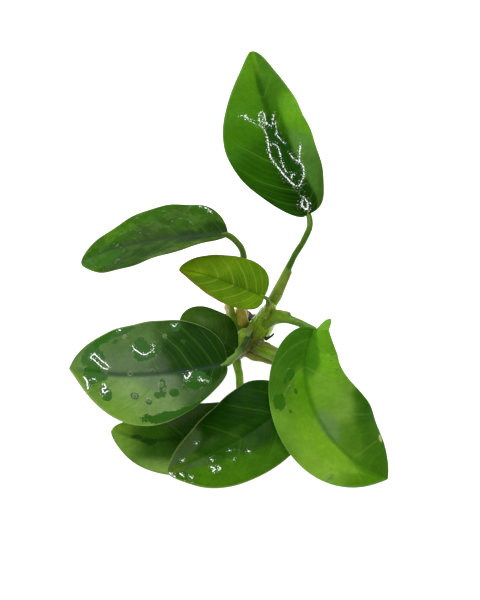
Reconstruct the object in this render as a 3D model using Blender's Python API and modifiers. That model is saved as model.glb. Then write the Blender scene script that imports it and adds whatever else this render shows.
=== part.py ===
# Anubias plant holding on to a dark stone: stone, rhizome, eight leaves on their stems, roots.
# Metres, +Z up. The origin is the middle of the stone's flat underside.
import math

import bmesh
import bpy
import numpy as np
from mathutils import Vector
from mathutils import noise
from mathutils.bvhtree import BVHTree

MM = 0.001

# sizes
BLADE_THICKNESS = 0.6 * MM
BLADE_ROWS = 14
BLADE_HALF_COLUMNS = 3
CLEARANCE = 0.3 * MM
STEM_SHORT = 0.8 * MM          # a stem stops this far before the leaf it carries,
STEM_BELOW = 1.9 * MM          # and its middle line this far below it
STEM_TAPER = 0.6               # below 1, a stem thins quickly near its foot
ROOT_RADIUS = 0.7 * MM
ROOT_TAPER = 0.35              # share of its radius that a root loses towards its end
ROOT_ARCH = 4.0 * MM           # how high a root's straight run is lifted before it is laid on the stone
ROOT_POINTS = 9
ROOT_LIFT = CLEARANCE + 0.25 * MM   # the stone bulges a little between a root's points
STONE_MIDDLE = Vector((0.0, 0.0, 10.0 * MM))
STONE_FINEST = 4               # how many times the ball it is made from is divided
STONE_ROUGHNESS = 0.9 * MM
STONE_POWER = 3.0              # 2 is an egg, and higher is blockier
STONE_SEARCH = 60.0            # mm, further than any point of the stone from its middle
HALVINGS = 30
BROAD_BUMPS = 3.1              # bumps to one radius of the ball
FINE_BUMPS = 7.0
EAR_REACH = 2.5                # how strongly an ear pulls the edge back
VEIN_LEAN = 1.6                # above 1, side veins leave the midrib further back than they meet the edge

# edges that turn by more than this stay crisp
SHARP_ANGLE = math.radians(50.0)

# points closer than this are one point
WELD_TUBE = 0.02 * MM
WELD_LEAF = 0.05 * MM
WELD_STONE = 0.1 * MM

# the stone is two blunt boulder lobes grown together: middle, half sizes, turn of the long side
STONE_LOBES = [
    dict(middle=(-9.0, -3.0, 9.0), half=(17.5, 13.0, 14.0), turn=0.0),
    dict(middle=(10.0, 7.0, 10.0), half=(18.0, 7.5, 14.0), turn=38.0),
]

# the creeping rhizome, from its old end to the growing tip: point in mm, radius in mm
RHIZOME = [
    ((13.0, -4.5, 28.5), 2.6),
    ((15.0, -2.5, 28.8), 4.0),
    ((19.0, 0.5, 29.4), 4.4),
    ((23.0, 4.0, 30.2), 4.6),
    ((27.0, 8.0, 32.5), 4.7),
    ((29.0, 10.8, 36.0), 3.8),
    ((29.7, 12.3, 40.5), 2.2),
    ((29.4, 12.8, 43.5), 1.3),
]

# stems: points in mm from the rhizome to the leaf, radius in mm at the foot and at the leaf
STEMS = {
    "top": dict(
        points=[(28.5, 10.0, 34), (31, 15.8, 40), (33.4, 19.2, 46), (36.4, 24.4, 50),
                (39.5, 29.5, 54), (42.6, 33.8, 57), (45, 38.4, 59), (45.3, 41.8, 60), (44.8, 44.3, 60)],
        radius=(2.0, 1.2)),
    "upper_left": dict(
        points=[(20, 4.5, 31), (16.6, 8.6, 33.2), (14.6, 12.8, 37), (16, 20, 43), (19.2, 28.5, 49),
                (18.8, 32, 53), (16.4, 34.2, 56), (13.3, 36.3, 57)],
        radius=(1.5, 1.2)),
    "young": dict(
        points=[(29.35, 12.9, 43.9), (29, 13.2, 46), (28.3, 13.3, 48.5), (27.2, 13.4, 51.2)],
        radius=(0.9, 0.7)),
    "small": dict(
        points=[(20, 0.5, 29.5), (18.4, -2.4, 34.4), (17, -3.6, 36.8)],
        radius=(0.9, 0.7)),
    "left": dict(
        points=[(22, 4, 31), (21.2, 0.6, 36.5), (18.8, -5, 40.5), (15.3, -9.6, 44), (12.6, -12.4, 45)],
        radius=(1.9, 1.5)),
    "lower_left": dict(
        points=[(16, -2, 28.5), (16.4, -7, 27), (17.4, -11, 24.6), (17.6, -15.9, 21.2),
                (18.6, -19.6, 19.8), (20.4, -22.4, 20)],
        radius=(1.3, 1.0)),
    "bottom": dict(
        points=[(21, 1, 29.5), (26.6, -2.2, 31), (31.8, -5.6, 34), (37.7, -11.8, 35.5),
                (40, -17.2, 36), (39.1, -21.1, 35)],
        radius=(1.9, 1.3)),
    "right": dict(
        points=[(26, 7, 33), (31, 8.2, 38.5), (35.3, 7, 43), (39.9, 5, 45), (43.7, 2.8, 46),
                (47.2, 0.5, 47.6)],
        radius=(2.0, 1.2)),
}

# leaves: midrib as the four handles of a bend in mm, then for the half on each hand, looking from
# foot to tip: half width in mm at 0, 1/4, 1/2, 3/4 and 1 of the length, how far its ear runs back,
# how far it folds up and how far it curls, in degrees at the stations of the fold
LEAVES = {
    "top": dict(
        midrib=[(44.6, 44.3, 60), (38.3, 58.4, 70.7), (25.4, 85.3, 76.8), (22.8, 108.4, 74)],
        stations=(0, 0.5, 1), roll=(0, 0, 0),
        left=dict(half=(13, 20, 21.5, 15, 6), ear=0.03, fold=(8, 5, 0), curl=(0, -5, -10)),
        right=dict(half=(20, 16.3, 14.2, 11, 8.5), ear=0.0, fold=(45, 42, 5), curl=(0, -5, -10))),
    "upper_left": dict(
        midrib=[(13.3, 37.1, 57), (-3.5, 34.4, 60.2), (-27.6, 34.3, 57.3), (-45.1, 30.4, 44)],
        stations=(0, 0.5, 1), roll=(-28, -24, -20),
        left=dict(half=(7, 10, 13.5, 15, 9), ear=0.0, fold=(18, 16, 5), curl=(-8, -8, -8)),
        right=dict(half=(27, 18.3, 15.2, 11.5, 9.5), ear=0.03, fold=(15, 16, 10), curl=(-8, -8, -8))),
    "young": dict(
        midrib=[(27.4, 13.4, 50), (16.3, 17.7, 52.2), (4.1, 22.2, 54.3), (-5.9, 24.1, 52)],
        stations=(0, 0.5, 1), roll=(0, 0, 0),
        left=dict(half=(14, 10.5, 8.8, 6.5, 3), ear=0.04, fold=(15, 10, 0), curl=(-10, -10, 0)),
        right=dict(half=(17, 13.5, 11, 9.2, 7), ear=0.04, fold=(10, 5, 0), curl=(-10, -10, 0))),
    "small": dict(
        midrib=[(16.8, -3.7, 37), (11.4, -1.2, 40.3), (2.4, 6, 41.5), (-5.8, 9, 37)],
        stations=(0, 0.5, 1), roll=(0, 0, 0),
        left=dict(half=(8, 8, 8, 8, 6), ear=0.05, fold=(0, 0, 0), curl=(-10, -10, -10)),
        right=dict(half=(6, 10, 9.4, 9.5, 11), ear=0.0, fold=(0, 0, 0), curl=(-10, -10, -10))),
    "left": dict(
        midrib=[(12.6, -12.4, 45), (-4.2, -16.9, 48), (-26.9, -19.6, 45), (-49.2, -11.2, 36)],
        stations=(0, 0.5, 1), roll=(0, 0, 0),
        left=dict(half=(13.5, 17.8, 20.4, 15.5, 3.5), ear=0.02, fold=(8, 5, 0), curl=(-15, -15, -5)),
        right=dict(half=(26, 23.5, 22, 22, 24), ear=0.06, fold=(8, 5, 0), curl=(-15, -15, -5))),
    "lower_left": dict(
        midrib=[(20.4, -22.4, 20), (1.9, -35, 25.2), (-15.9, -41.4, 19.8), (-33.5, -29.6, 13)],
        stations=(0, 0.5, 1), roll=(0, 0, 0),
        left=dict(half=(14, 15, 15.5, 12.5, 7), ear=0.05, fold=(0, -5, -5), curl=(-25, -25, -25)),
        right=dict(half=(8, 10, 13, 13, 9), ear=0.03, fold=(25, 20, 5), curl=(0, 0, 0))),
    "bottom": dict(
        midrib=[(39.1, -21.1, 35), (24.1, -43.5, 41.2), (6.6, -42.8, 31.6), (-10.3, -50, 22)],
        stations=(0, 0.5, 1), roll=(0, 0, 0),
        left=dict(half=(20, 18, 16.5, 15, 8), ear=0.05, fold=(8, 5, 0), curl=(-15, -15, -15)),
        right=dict(half=(26, 20.4, 17, 14, 8), ear=0.03, fold=(8, 5, 0), curl=(-15, -15, -10))),
    "right": dict(
        midrib=[(47.2, 0.5, 48), (35.5, -23.3, 45.2), (52.6, -48.8, 39.3), (75.7, -53.4, 26)],
        stations=(0, 0.12, 0.5, 1), roll=(0, 0, 0, 0),
        left=dict(half=(30, 15.5, 19.5, 22.3, 30), ear=0.16, fold=(62, 30, 12, -5),
                  curl=(-10, -20, -30, -20)),
        right=dict(half=(16.5, 16.3, 17, 15.3, 3), ear=0.02, fold=(15, 15, 15, 5),
                   curl=(-25, -25, -25, -10))),
}

# roots: where each leaves the rhizome and where it ends low on the stone, mm
ROOTS = {
    "back": dict(start=(18.5, 3.5, 27.5), end=(7, 22, 9)),
    "back_right": dict(start=(24.5, 7.5, 29), end=(26, 24, 8)),
    "front": dict(start=(19, 0, 27.2), end=(14, -8, 6)),
    "left": dict(start=(16, 0, 27.6), end=(-12, 18, 12)),
    "front_left": dict(start=(15.2, -2.8, 27.2), end=(-14, -22, 7)),
    "right": dict(start=(23.5, 3.5, 28), end=(27, 2, 7)),
}

# colour and roughness of each material
FINISHES = {
    "stone": ((0.012, 0.012, 0.013, 1.0), 0.7),
    "rhizome": ((0.09, 0.11, 0.02, 1.0), 0.5),
    "stem": ((0.09, 0.18, 0.01, 1.0), 0.4),
    "leaf": ((0.035, 0.13, 0.005, 1.0), 0.35),
    "bright_leaf": ((0.11, 0.29, 0.015, 1.0), 0.35),
    "young_leaf": ((0.12, 0.24, 0.002, 1.0), 0.4),
    "root": ((0.55, 0.45, 0.24, 1.0), 0.6),
}

# the leaves that are not the common green
LEAF_FINISH = {"young": "young_leaf", "right": "bright_leaf"}


def clear_scene():
    for ob in list(bpy.data.objects):
        bpy.data.objects.remove(ob, do_unlink=True)


def collection(name):
    col = bpy.data.collections.new(name)
    bpy.context.scene.collection.children.link(col)
    return col


def material(name, colour, roughness):
    mat = bpy.data.materials.new(name)
    mat.use_nodes = True
    shader = mat.node_tree.nodes["Principled BSDF"]
    shader.inputs["Base Color"].default_value = colour
    shader.inputs["Roughness"].default_value = roughness
    return mat


def add_object(name, mesh, col, mat=None):
    ob = bpy.data.objects.new(name, mesh)
    col.objects.link(ob)
    if mat is not None:
        mesh.materials.clear()
        mesh.materials.append(mat)
    return ob


def tube(name, points, radii, col, mat=None, sides=8, steps=3, grow=0.0):
    """A smooth round rod through the points, with a closed cap at both ends."""
    curve = bpy.data.curves.new(name + "_path", "CURVE")
    curve.dimensions = "3D"
    curve.bevel_depth = 1.0
    curve.bevel_resolution = max(0, sides // 2 - 2)
    curve.resolution_u = steps
    curve.use_fill_caps = True
    spline = curve.splines.new("BEZIER")
    spline.bezier_points.add(len(points) - 1)
    for knot, point, radius in zip(spline.bezier_points, points, radii):
        knot.co = Vector(point)
        knot.handle_left_type = "AUTO"
        knot.handle_right_type = "AUTO"
        knot.radius = radius + grow
    path = bpy.data.objects.new(name + "_path", curve)
    col.objects.link(path)
    graph = bpy.context.evaluated_depsgraph_get()
    mesh = bpy.data.meshes.new_from_object(path.evaluated_get(graph))
    place = path.matrix_world.copy()
    bpy.data.objects.remove(path, do_unlink=True)
    bm = bmesh.new()
    bm.from_mesh(mesh)
    bmesh.ops.remove_doubles(bm, verts=bm.verts, dist=WELD_TUBE)
    bmesh.ops.recalc_face_normals(bm, faces=bm.faces)
    bm.to_mesh(mesh)
    bm.free()
    mesh.name = name
    mesh.shade_smooth()
    mesh.set_sharp_from_angle(angle=SHARP_ANGLE)
    ob = add_object(name, mesh, col, mat)
    ob.matrix_world = place
    return ob


def cut_away(ob, cutter):
    mod = ob.modifiers.new("cut_" + cutter.name, "BOOLEAN")
    mod.operation = "DIFFERENCE"
    mod.solver = "EXACT"
    mod.object = cutter


# ---- stone ----

def lobe_reach(directions, lobe):
    """How far each direction runs from the stone's middle to the lobe's skin, found by halving.

    The skin is where |x/a|^p + |y/b|^p + |z/c|^p = 1 in the lobe's own turned axes.
    """
    turn = math.radians(lobe["turn"])
    offset = np.array(STONE_MIDDLE) / MM - np.array(lobe["middle"])
    low = np.zeros(len(directions))
    high = np.full(len(directions), STONE_SEARCH)
    for _ in range(HALVINGS):
        reach = (low + high) / 2
        p = offset + directions * reach[:, None]
        x = p[:, 0] * math.cos(turn) + p[:, 1] * math.sin(turn)
        y = p[:, 1] * math.cos(turn) - p[:, 0] * math.sin(turn)
        q = np.stack([x, y, p[:, 2]], 1) / np.array(lobe["half"])
        inside = (np.abs(q) ** STONE_POWER).sum(1) < 1
        low = np.where(inside, reach, low)
        high = np.where(inside, high, reach)
    return low * MM


def build_stone(col, mat):
    bm = bmesh.new()
    bmesh.ops.create_icosphere(bm, subdivisions=STONE_FINEST, radius=1.0)
    directions = np.array([v.co.normalized() for v in bm.verts])
    reach = np.max([lobe_reach(directions, lobe) for lobe in STONE_LOBES], axis=0)
    for v, d, r in zip(bm.verts, directions, reach):
        d = Vector(d)
        bump = noise.noise(d * BROAD_BUMPS) + noise.noise(d * FINE_BUMPS) / 2
        v.co = STONE_MIDDLE + d * (r + bump * STONE_ROUGHNESS)
    cut = bmesh.ops.bisect_plane(
        bm, geom=bm.verts[:] + bm.edges[:] + bm.faces[:], dist=0.0000001,
        plane_co=(0, 0, 0), plane_no=(0, 0, -1), clear_outer=True)
    rim = [e for e in cut["geom_cut"] if isinstance(e, bmesh.types.BMEdge)]
    bmesh.ops.contextual_create(bm, geom=rim)
    bmesh.ops.remove_doubles(bm, verts=bm.verts, dist=WELD_STONE)
    bmesh.ops.recalc_face_normals(bm, faces=bm.faces)
    mesh = bpy.data.meshes.new("stone")
    bm.to_mesh(mesh)
    bm.free()
    mesh.shade_smooth()
    mesh.set_sharp_from_angle(angle=SHARP_ANGLE)
    return add_object("stone", mesh, col, mat)


# ---- leaves ----

def bend(handles, t):
    """Points along a cubic bend with the four handles."""
    p = np.array(handles, float)
    t = t[:, None]
    return p[0] * (1 - t) ** 3 + p[1] * 3 * t * (1 - t) ** 2 + p[2] * 3 * t ** 2 * (1 - t) + p[3] * t ** 3


def unit(v):
    return v / np.linalg.norm(v, axis=-1, keepdims=True)


def leaf_points(leaf, along, across):
    """Points in mm of a leaf, for along 0..1 from foot to tip and across -1..1 from left edge to right.

    The half width is (a smooth curve through the five stations) x sin(phi), with the share of the
    length (1 - cos phi) / 2. Side veins leave the midrib further back than they meet the edge. Each
    half leaves the midrib at the fold angle and bends on as an arc of the curl angle.
    """
    fine = np.linspace(0, 1, 121)
    path = bend(leaf["midrib"], fine)
    steps = np.linalg.norm(np.diff(path, axis=0), axis=1)
    arc = np.concatenate([[0.0], np.cumsum(steps)])
    length = arc[-1]
    ahead = unit(np.gradient(path, arc, axis=0))
    side = unit(np.cross(ahead, (0.0, 0.0, 1.0)))
    top = np.cross(side, ahead)
    roll = np.radians(np.interp(arc / length, leaf["stations"], leaf["roll"]))[:, None]
    side, top = side * np.cos(roll) + top * np.sin(roll), top * np.cos(roll) - side * np.sin(roll)

    phi = along * math.pi
    share = (1 - np.cos(phi)) / 2
    hand = np.where(across < 0, -1.0, 1.0)
    out = np.abs(across)
    points = np.zeros((len(along), 3))
    for sign, half in ((-1.0, leaf["left"]), (1.0, leaf["right"])):
        mine = hand == sign
        widest = max(half["half"])
        width = np.sin(phi) * np.polyval(np.polyfit([0, 0.25, 0.5, 0.75, 1], half["half"], 4), share)
        edge = length * (share - EAR_REACH * half["ear"] * np.sin(phi) * (1 - along) ** 3)
        foot = length * share ** VEIN_LEAN
        x = foot + (edge - foot) * (0.5 * out + 0.5 * out ** 2)
        a = width * out
        q = np.clip(x / length, 0, 1)
        fold = np.radians(np.interp(q, leaf["stations"], half["fold"]))
        turn = np.radians(np.interp(q, leaf["stations"], half["curl"]) + 0.001) / widest
        reach = (np.sin(fold + turn * a) - np.sin(fold)) / turn
        rise = (np.cos(fold) - np.cos(fold + turn * a)) / turn
        at = np.clip(x, 0, length)
        base = np.stack([np.interp(at, arc, path[:, k]) for k in range(3)], 1)
        tt = unit(np.stack([np.interp(at, arc, ahead[:, k]) for k in range(3)], 1))
        ss = unit(np.stack([np.interp(at, arc, side[:, k]) for k in range(3)], 1))
        uu = unit(np.stack([np.interp(at, arc, top[:, k]) for k in range(3)], 1))
        p = base + (x - at)[:, None] * tt + (sign * reach)[:, None] * ss + rise[:, None] * uu
        points[mine] = p[mine]
    return points


def build_leaf(name, leaf, col, mat):
    """A grid moved on to the leaf's surface, its ends gathered to points, then given a thickness."""
    bm = bmesh.new()
    bmesh.ops.create_grid(bm, x_segments=BLADE_ROWS, y_segments=2 * BLADE_HALF_COLUMNS, size=1.0)
    bm.verts.ensure_lookup_table()
    along = np.array([(v.co.x + 1) / 2 for v in bm.verts])
    across = np.array([v.co.y for v in bm.verts])
    for v, p in zip(bm.verts, leaf_points(leaf, along, across)):
        v.co = Vector(p) * MM
    bmesh.ops.remove_doubles(bm, verts=bm.verts, dist=WELD_LEAF)
    bmesh.ops.recalc_face_normals(bm, faces=bm.faces)
    if sum(f.normal.z * f.calc_area() for f in bm.faces) < 0:
        bmesh.ops.reverse_faces(bm, faces=bm.faces)
    mesh = bpy.data.meshes.new(name)
    bm.to_mesh(mesh)
    bm.free()
    mesh.shade_smooth()
    ob = add_object(name, mesh, col, mat)
    mod = ob.modifiers.new("thickness", "SOLIDIFY")
    mod.thickness = BLADE_THICKNESS
    mod.offset = 0.0
    return ob


# ---- stems, rhizome, roots ----

def stem_shape(stem):
    """Points and radii of a stem in metres, stopped short of the leaf."""
    points = [Vector(p) * MM for p in stem["points"]]
    last = points[-1] - points[-2]
    points[-1] = points[-1] - last.normalized() * STEM_SHORT - Vector((0, 0, STEM_BELOW))
    foot, tip = stem["radius"]
    share = np.linspace(0, 1, len(points)) ** STEM_TAPER
    return points, [(foot + (tip - foot) * s) * MM for s in share]


def root_shape(root, skin):
    """A root's points: a straight run laid against the stone's skin, clear of it by a hair."""
    start = Vector(root["start"]) * MM
    end = Vector(root["end"]) * MM
    points = [start]
    radii = [ROOT_RADIUS]
    for k in range(1, ROOT_POINTS):
        t = k / (ROOT_POINTS - 1)
        guess = start.lerp(end, t)
        guess.z += math.sin(t * math.pi) * ROOT_ARCH
        spot, normal, _, _ = skin.find_nearest(guess)
        points.append(spot + normal * (ROOT_RADIUS + ROOT_LIFT))
        radii.append(ROOT_RADIUS * (1 - ROOT_TAPER * t))
    return points, radii


def main():
    clear_scene()
    parts = collection("anubias_on_stone")
    cutters = collection("cutters")
    cutters.hide_render = True
    mats = {name: material(name, colour, roughness) for name, (colour, roughness) in FINISHES.items()}
    stone = build_stone(parts, mats["stone"])
    bm = bmesh.new()
    bm.from_mesh(stone.data)
    skin = BVHTree.FromBMesh(bm)
    bm.free()

    points = [Vector(p) * MM for p, _ in RHIZOME]
    radii = [r * MM for _, r in RHIZOME]
    tube("rhizome", points, radii, parts, mats["rhizome"], sides=12)
    clear = tube("rhizome_clear", points, radii, cutters, sides=12, grow=CLEARANCE)
    clear.display_type = "WIRE"
    clear.hide_render = True

    for name, leaf in LEAVES.items():
        build_leaf("leaf_" + name, leaf, parts, mats[LEAF_FINISH.get(name, "leaf")])
    for name, stem in STEMS.items():
        points, radii = stem_shape(stem)
        ob = tube("stem_" + name, points, radii, parts, mats["stem"])
        cut_away(ob, clear)
    for name, root in ROOTS.items():
        points, radii = root_shape(root, skin)
        ob = tube("root_" + name, points, radii, parts, mats["root"], sides=6, steps=2)
        cut_away(ob, clear)


main()
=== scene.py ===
# Anubias holding on to a dark stone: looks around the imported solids.
# Lengths in the settings are millimetres unless a note says otherwise.
import math

import bmesh
import bpy
import numpy as np
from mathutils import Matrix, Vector


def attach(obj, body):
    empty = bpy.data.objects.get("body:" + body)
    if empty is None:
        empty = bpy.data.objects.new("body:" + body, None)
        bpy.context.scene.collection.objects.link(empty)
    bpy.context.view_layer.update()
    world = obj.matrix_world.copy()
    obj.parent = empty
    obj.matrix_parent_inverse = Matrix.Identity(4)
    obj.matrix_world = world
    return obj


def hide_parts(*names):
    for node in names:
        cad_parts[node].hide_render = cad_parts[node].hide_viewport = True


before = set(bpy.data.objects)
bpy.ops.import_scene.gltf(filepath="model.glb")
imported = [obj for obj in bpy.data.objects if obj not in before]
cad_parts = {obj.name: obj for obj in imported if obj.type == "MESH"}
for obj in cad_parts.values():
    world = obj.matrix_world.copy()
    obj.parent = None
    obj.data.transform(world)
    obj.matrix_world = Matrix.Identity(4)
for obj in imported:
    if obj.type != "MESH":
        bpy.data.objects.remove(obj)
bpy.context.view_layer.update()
mm = 0.001
mergeMm = 0.004     # points nearer than this are one


# 0 below low, 1 above high and a soft S between them
def soft(x, low, high):
    t = np.clip((x - low) / (high - low), 0, 1)
    return t * t * (3 - 2 * t)


def unit(v):
    return v / np.maximum(np.linalg.norm(v, axis=-1, keepdims=True), 1e-9)


# random heights -1..1 at the corners of a lattice, blended with the soft S between corners
def lumps(points, size, seed):
    table = np.random.default_rng(seed).uniform(-1, 1, (32, 32, 32))
    p = np.asarray(points) / size + 512.0
    cell = np.floor(p).astype(int)
    f = p - cell
    f = f * f * (3 - 2 * f)
    total = np.zeros(p.shape[:-1])
    for dx in (0, 1):
        for dy in (0, 1):
            for dz in (0, 1):
                near = np.array((dx, dy, dz))
                share = np.prod(np.where(near, f, 1 - f), axis=-1)
                corner = (cell + near) % 32
                total += share * table[corner[..., 0], corner[..., 1], corner[..., 2]]
    return total


# a smooth path through the knots: between two knots the point is the usual blend of the
# four nearest knots (Catmull-Rom), with the ends continued straight
def through(knots, count):
    k = np.asarray(knots, float)
    k = np.concatenate([[2 * k[0] - k[1]], k, [2 * k[-1] - k[-2]]])
    spans = len(k) - 3
    u = np.linspace(0, spans, count)
    i = np.minimum(u.astype(int), spans - 1)
    t = (u - i)[:, None]
    a, b, c, d = k[i], k[i + 1], k[i + 2], k[i + 3]
    curve = 2 * b + (c - a) * t + (2 * a - 5 * b + 4 * c - d) * t ** 2 + (3 * b - a - 3 * c + d) * t ** 3
    return 0.5 * curve


# how far along the path each of its points lies, as a share, and the path's length
def alongPath(path):
    steps = np.linalg.norm(np.diff(path, axis=0), axis=1)
    arc = np.concatenate([[0.0], np.cumsum(steps)])
    return arc / arc[-1], arc[-1]


# a closed skin from a grid of points in mm: rows run along, columns run round and join up.
# rows that gather to one point become a pole
def makePiece(name, points, mat, node, slot, uv=None, **fields):
    rows, columns = points.shape[:2]
    i, j = np.meshgrid(np.arange(rows - 1), np.arange(columns), indexing="ij")
    right = (j + 1) % columns
    corner = i * columns
    faces = np.stack([corner + j, corner + right, corner + columns + right, corner + columns + j], -1)
    mesh = bpy.data.meshes.new(name)
    mesh.from_pydata((points.reshape(-1, 3) * mm).tolist(), [], faces.reshape(-1, 4).tolist())
    if uv is None:
        seam = np.linspace(0, 1, columns + 1)
        uv = np.stack(np.meshgrid(np.linspace(0, 1, rows), seam, indexing="ij"), -1)
    corners = np.stack([uv[i, j], uv[i, j + 1], uv[i + 1, j + 1], uv[i + 1, j]], -2)
    layer = mesh.uv_layers.new(name="skin")
    layer.data.foreach_set("uv", corners.reshape(-1).astype(np.float32))
    for key, values in fields.items():
        kind, word = "FLOAT", "value"
        if values.ndim == 3:
            kind, word = "FLOAT_COLOR", "color"
            values = np.concatenate([values, np.ones(values.shape[:2] + (1,))], -1)
        field = mesh.attributes.new(key, kind, "POINT")
        field.data.foreach_set(word, values.astype(np.float32).reshape(-1))
    bm = bmesh.new()
    bm.from_mesh(mesh)
    bmesh.ops.remove_doubles(bm, verts=bm.verts, dist=mergeMm * mm)
    gaps = [e for e in bm.edges if e.is_boundary]
    if gaps:
        bmesh.ops.holes_fill(bm, edges=gaps, sides=0)
    bmesh.ops.recalc_face_normals(bm, faces=bm.faces)
    bm.to_mesh(mesh)
    bm.free()
    mesh.shade_smooth()
    mesh.materials.append(mat)
    piece = bpy.data.objects.new(name, mesh)
    bpy.context.scene.collection.objects.link(piece)
    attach(piece, "root")
    if node:
        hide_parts(node)
    return piece


class Wire:
    # a shader socket that adds, multiplies and compares like a number
    def __init__(self, tree, socket=None):
        self.tree = tree
        self.socket = socket

    # any node: its settings first, then the values or wires of its sockets
    def node(self, kind, settings, sockets, output=0):
        made = self.tree.nodes.new(kind)
        for key, value in settings.items():
            setattr(made, key, value)
        for key, value in sockets.items():
            if isinstance(value, Wire):
                self.tree.links.new(value.socket, made.inputs[key])
            else:
                made.inputs[key].default_value = value
        return Wire(self.tree, made.outputs[output])

    def math(self, operation, *values):
        return self.node("ShaderNodeMath", {"operation": operation}, dict(enumerate(values)))

    def __add__(self, other):
        return self.math("ADD", self, other)

    __radd__ = __add__

    def __sub__(self, other):
        return self.math("SUBTRACT", self, other)

    def __rsub__(self, other):
        return self.math("SUBTRACT", other, self)

    def __mul__(self, other):
        return self.math("MULTIPLY", self, other)

    __rmul__ = __mul__

    def __abs__(self):
        return self.math("ABSOLUTE", self)

    def fract(self):
        return self.math("FRACT", self)

    def over(self, other):
        return self.math("MAXIMUM", self, other)

    # 0 below low and 1 above high, softly
    def rise(self, low, high):
        soft = {"interpolation_type": "SMOOTHSTEP"}
        return self.node("ShaderNodeMapRange", soft, {0: self, 1: low, 2: high})

    # 1 at zero, falling away to 0 at far
    def near(self, far):
        return 1 - abs(self).rise(0.0, far)

    # this mask laid over colour under, bringing colour on top
    def tint(self, under, top):
        return self.node("ShaderNodeMix", {"data_type": "RGBA"}, {0: self, 6: under, 7: top}, 2)

    # this colour multiplied by another
    def times(self, r, g, b):
        blend = {"data_type": "RGBA", "blend_type": "MULTIPLY"}
        return self.node("ShaderNodeMix", blend, {0: 1.0, 6: self, 7: rgb(r, g, b)}, 2)

    def attribute(self, name, output):
        return self.node("ShaderNodeAttribute", {"attribute_name": name}, {}, output)

    def place(self):
        return self.node("ShaderNodeTexCoord", {}, {}, 3)

    # cloudy noise 0..1 with features of that many millimetres
    def clouds(self, where, size, detail=3.0, rough=0.55):
        sockets = {"Vector": where, "Scale": 1000.0 / size, "Detail": detail, "Roughness": rough}
        return self.node("ShaderNodeTexNoise", {}, sockets)

    def cells(self, where, feature, scale):
        return self.node("ShaderNodeTexVoronoi", {"feature": feature}, {"Vector": where, "Scale": scale})

    def stretched(self, where, scale):
        return self.node("ShaderNodeVectorMath", {"operation": "MULTIPLY"}, {0: where, 1: scale})

    def uv(self):
        return self.node("ShaderNodeUVMap", {"uv_map": "skin"}, {})

    def split(self, output):
        return self.node("ShaderNodeSeparateXYZ", {}, {0: self}, output)

    # many bumps on one normal: each is (height wire, distance in mm, strength)
    def bumps(self, *layers):
        normal = None
        for height, distance, strength in layers:
            sockets = {"Height": height, "Distance": distance * mm, "Strength": strength}
            if normal:
                sockets["Normal"] = normal
            normal = self.node("ShaderNodeBump", {}, sockets)
        return normal


def newMaterial(name, **constants):
    mat = bpy.data.materials.new(name)
    mat.use_nodes = True
    shader = mat.node_tree.nodes["Principled BSDF"]
    for key, value in constants.items():
        shader.inputs[key.replace("_", " ")].default_value = value
    return mat, Wire(mat.node_tree), shader


def plug(wire, shader, name):
    wire.tree.links.new(wire.socket, shader.inputs[name])


def rgb(r, g, b):
    return (r, g, b, 1.0)


# where the camera looks and from how far, and the floor and sky
view = {
    "target": (18.0, 18.0, 34.0),
    "elevation": 70.0,      # degrees above the floor
    "distance": 667.0,
    "lens": 100.0,
    "floorSize": 6000.0,
    "skyStrength": 0.42,
}

# angles in degrees from the plant, lengths in metres, power in watts
lamps = {
    "windowLight": {"azimuth": -35, "elevation": 50, "distance": 1.0, "size": 0.8, "power": 6.8},
    "sparkLight": {"azimuth": 15, "elevation": 72, "distance": 0.9, "size": 0.05, "power": 0.55},
}


def addArea(name, azimuth, elevation, distance, size, power):
    a, e = math.radians(azimuth), math.radians(elevation)
    towards = Vector((math.sin(a) * math.cos(e), math.cos(a) * math.cos(e), math.sin(e)))
    lamp = bpy.data.lights.new(name, "AREA")
    lamp.shape = "SQUARE"
    lamp.size = size
    lamp.energy = power
    ob = bpy.data.objects.new(name, lamp)
    ob.location = Vector(view["target"]) * mm + towards * distance
    ob.rotation_euler = towards.to_track_quat("Z", "Y").to_euler()
    bpy.context.scene.collection.objects.link(ob)


def setStage():
    scene = bpy.context.scene
    scene.view_settings.view_transform = "Standard"
    e = math.radians(view["elevation"])
    towards = Vector((0, -math.cos(e), math.sin(e)))
    data = bpy.data.cameras.new("camera")
    data.lens = view["lens"]
    data.sensor_width = 36.0
    data.clip_end = 50.0
    camera = bpy.data.objects.new("camera", data)
    camera.location = (Vector(view["target"]) + towards * view["distance"]) * mm
    camera.rotation_euler = towards.to_track_quat("Z", "Y").to_euler()
    scene.collection.objects.link(camera)
    scene.camera = camera

    world = bpy.data.worlds.new("studio")
    world.use_nodes = True
    back = world.node_tree.nodes["Background"]
    back.inputs["Color"].default_value = rgb(1, 1, 1)
    back.inputs["Strength"].default_value = view["skyStrength"]
    scene.world = world

    for name, lamp in lamps.items():
        addArea(name, **lamp)

    mat, wire, shader = newMaterial("paper", Roughness=0.9, Emission_Strength=0.95)
    grain = wire.clouds(wire.place(), 40.0, 2.0)
    plug(grain.tint(rgb(0.93, 0.93, 0.93), rgb(0.95, 0.95, 0.95)), shader, "Base Color")
    shader.inputs["Specular IOR Level"].default_value = 0.0
    shader.inputs["Emission Color"].default_value = rgb(1, 1, 1)
    r = view["floorSize"] * mm / 2
    mesh = bpy.data.meshes.new("floor")
    mesh.from_pydata([(-r, -r, 0), (r, -r, 0), (r, r, 0), (-r, r, 0)], [], [(0, 1, 2, 3)])
    mesh.materials.append(mat)
    floor = bpy.data.objects.new("floor", mesh)
    scene.collection.objects.link(floor)


setStage()
print("camera, light and floor set")


# half of a leaf: widths at five stations, and its fold from the midrib and its curl, both in degrees
def flank(half, fold, curl, ear=0.0):
    return {"half": half, "fold": fold, "curl": curl, "ear": ear}


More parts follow.
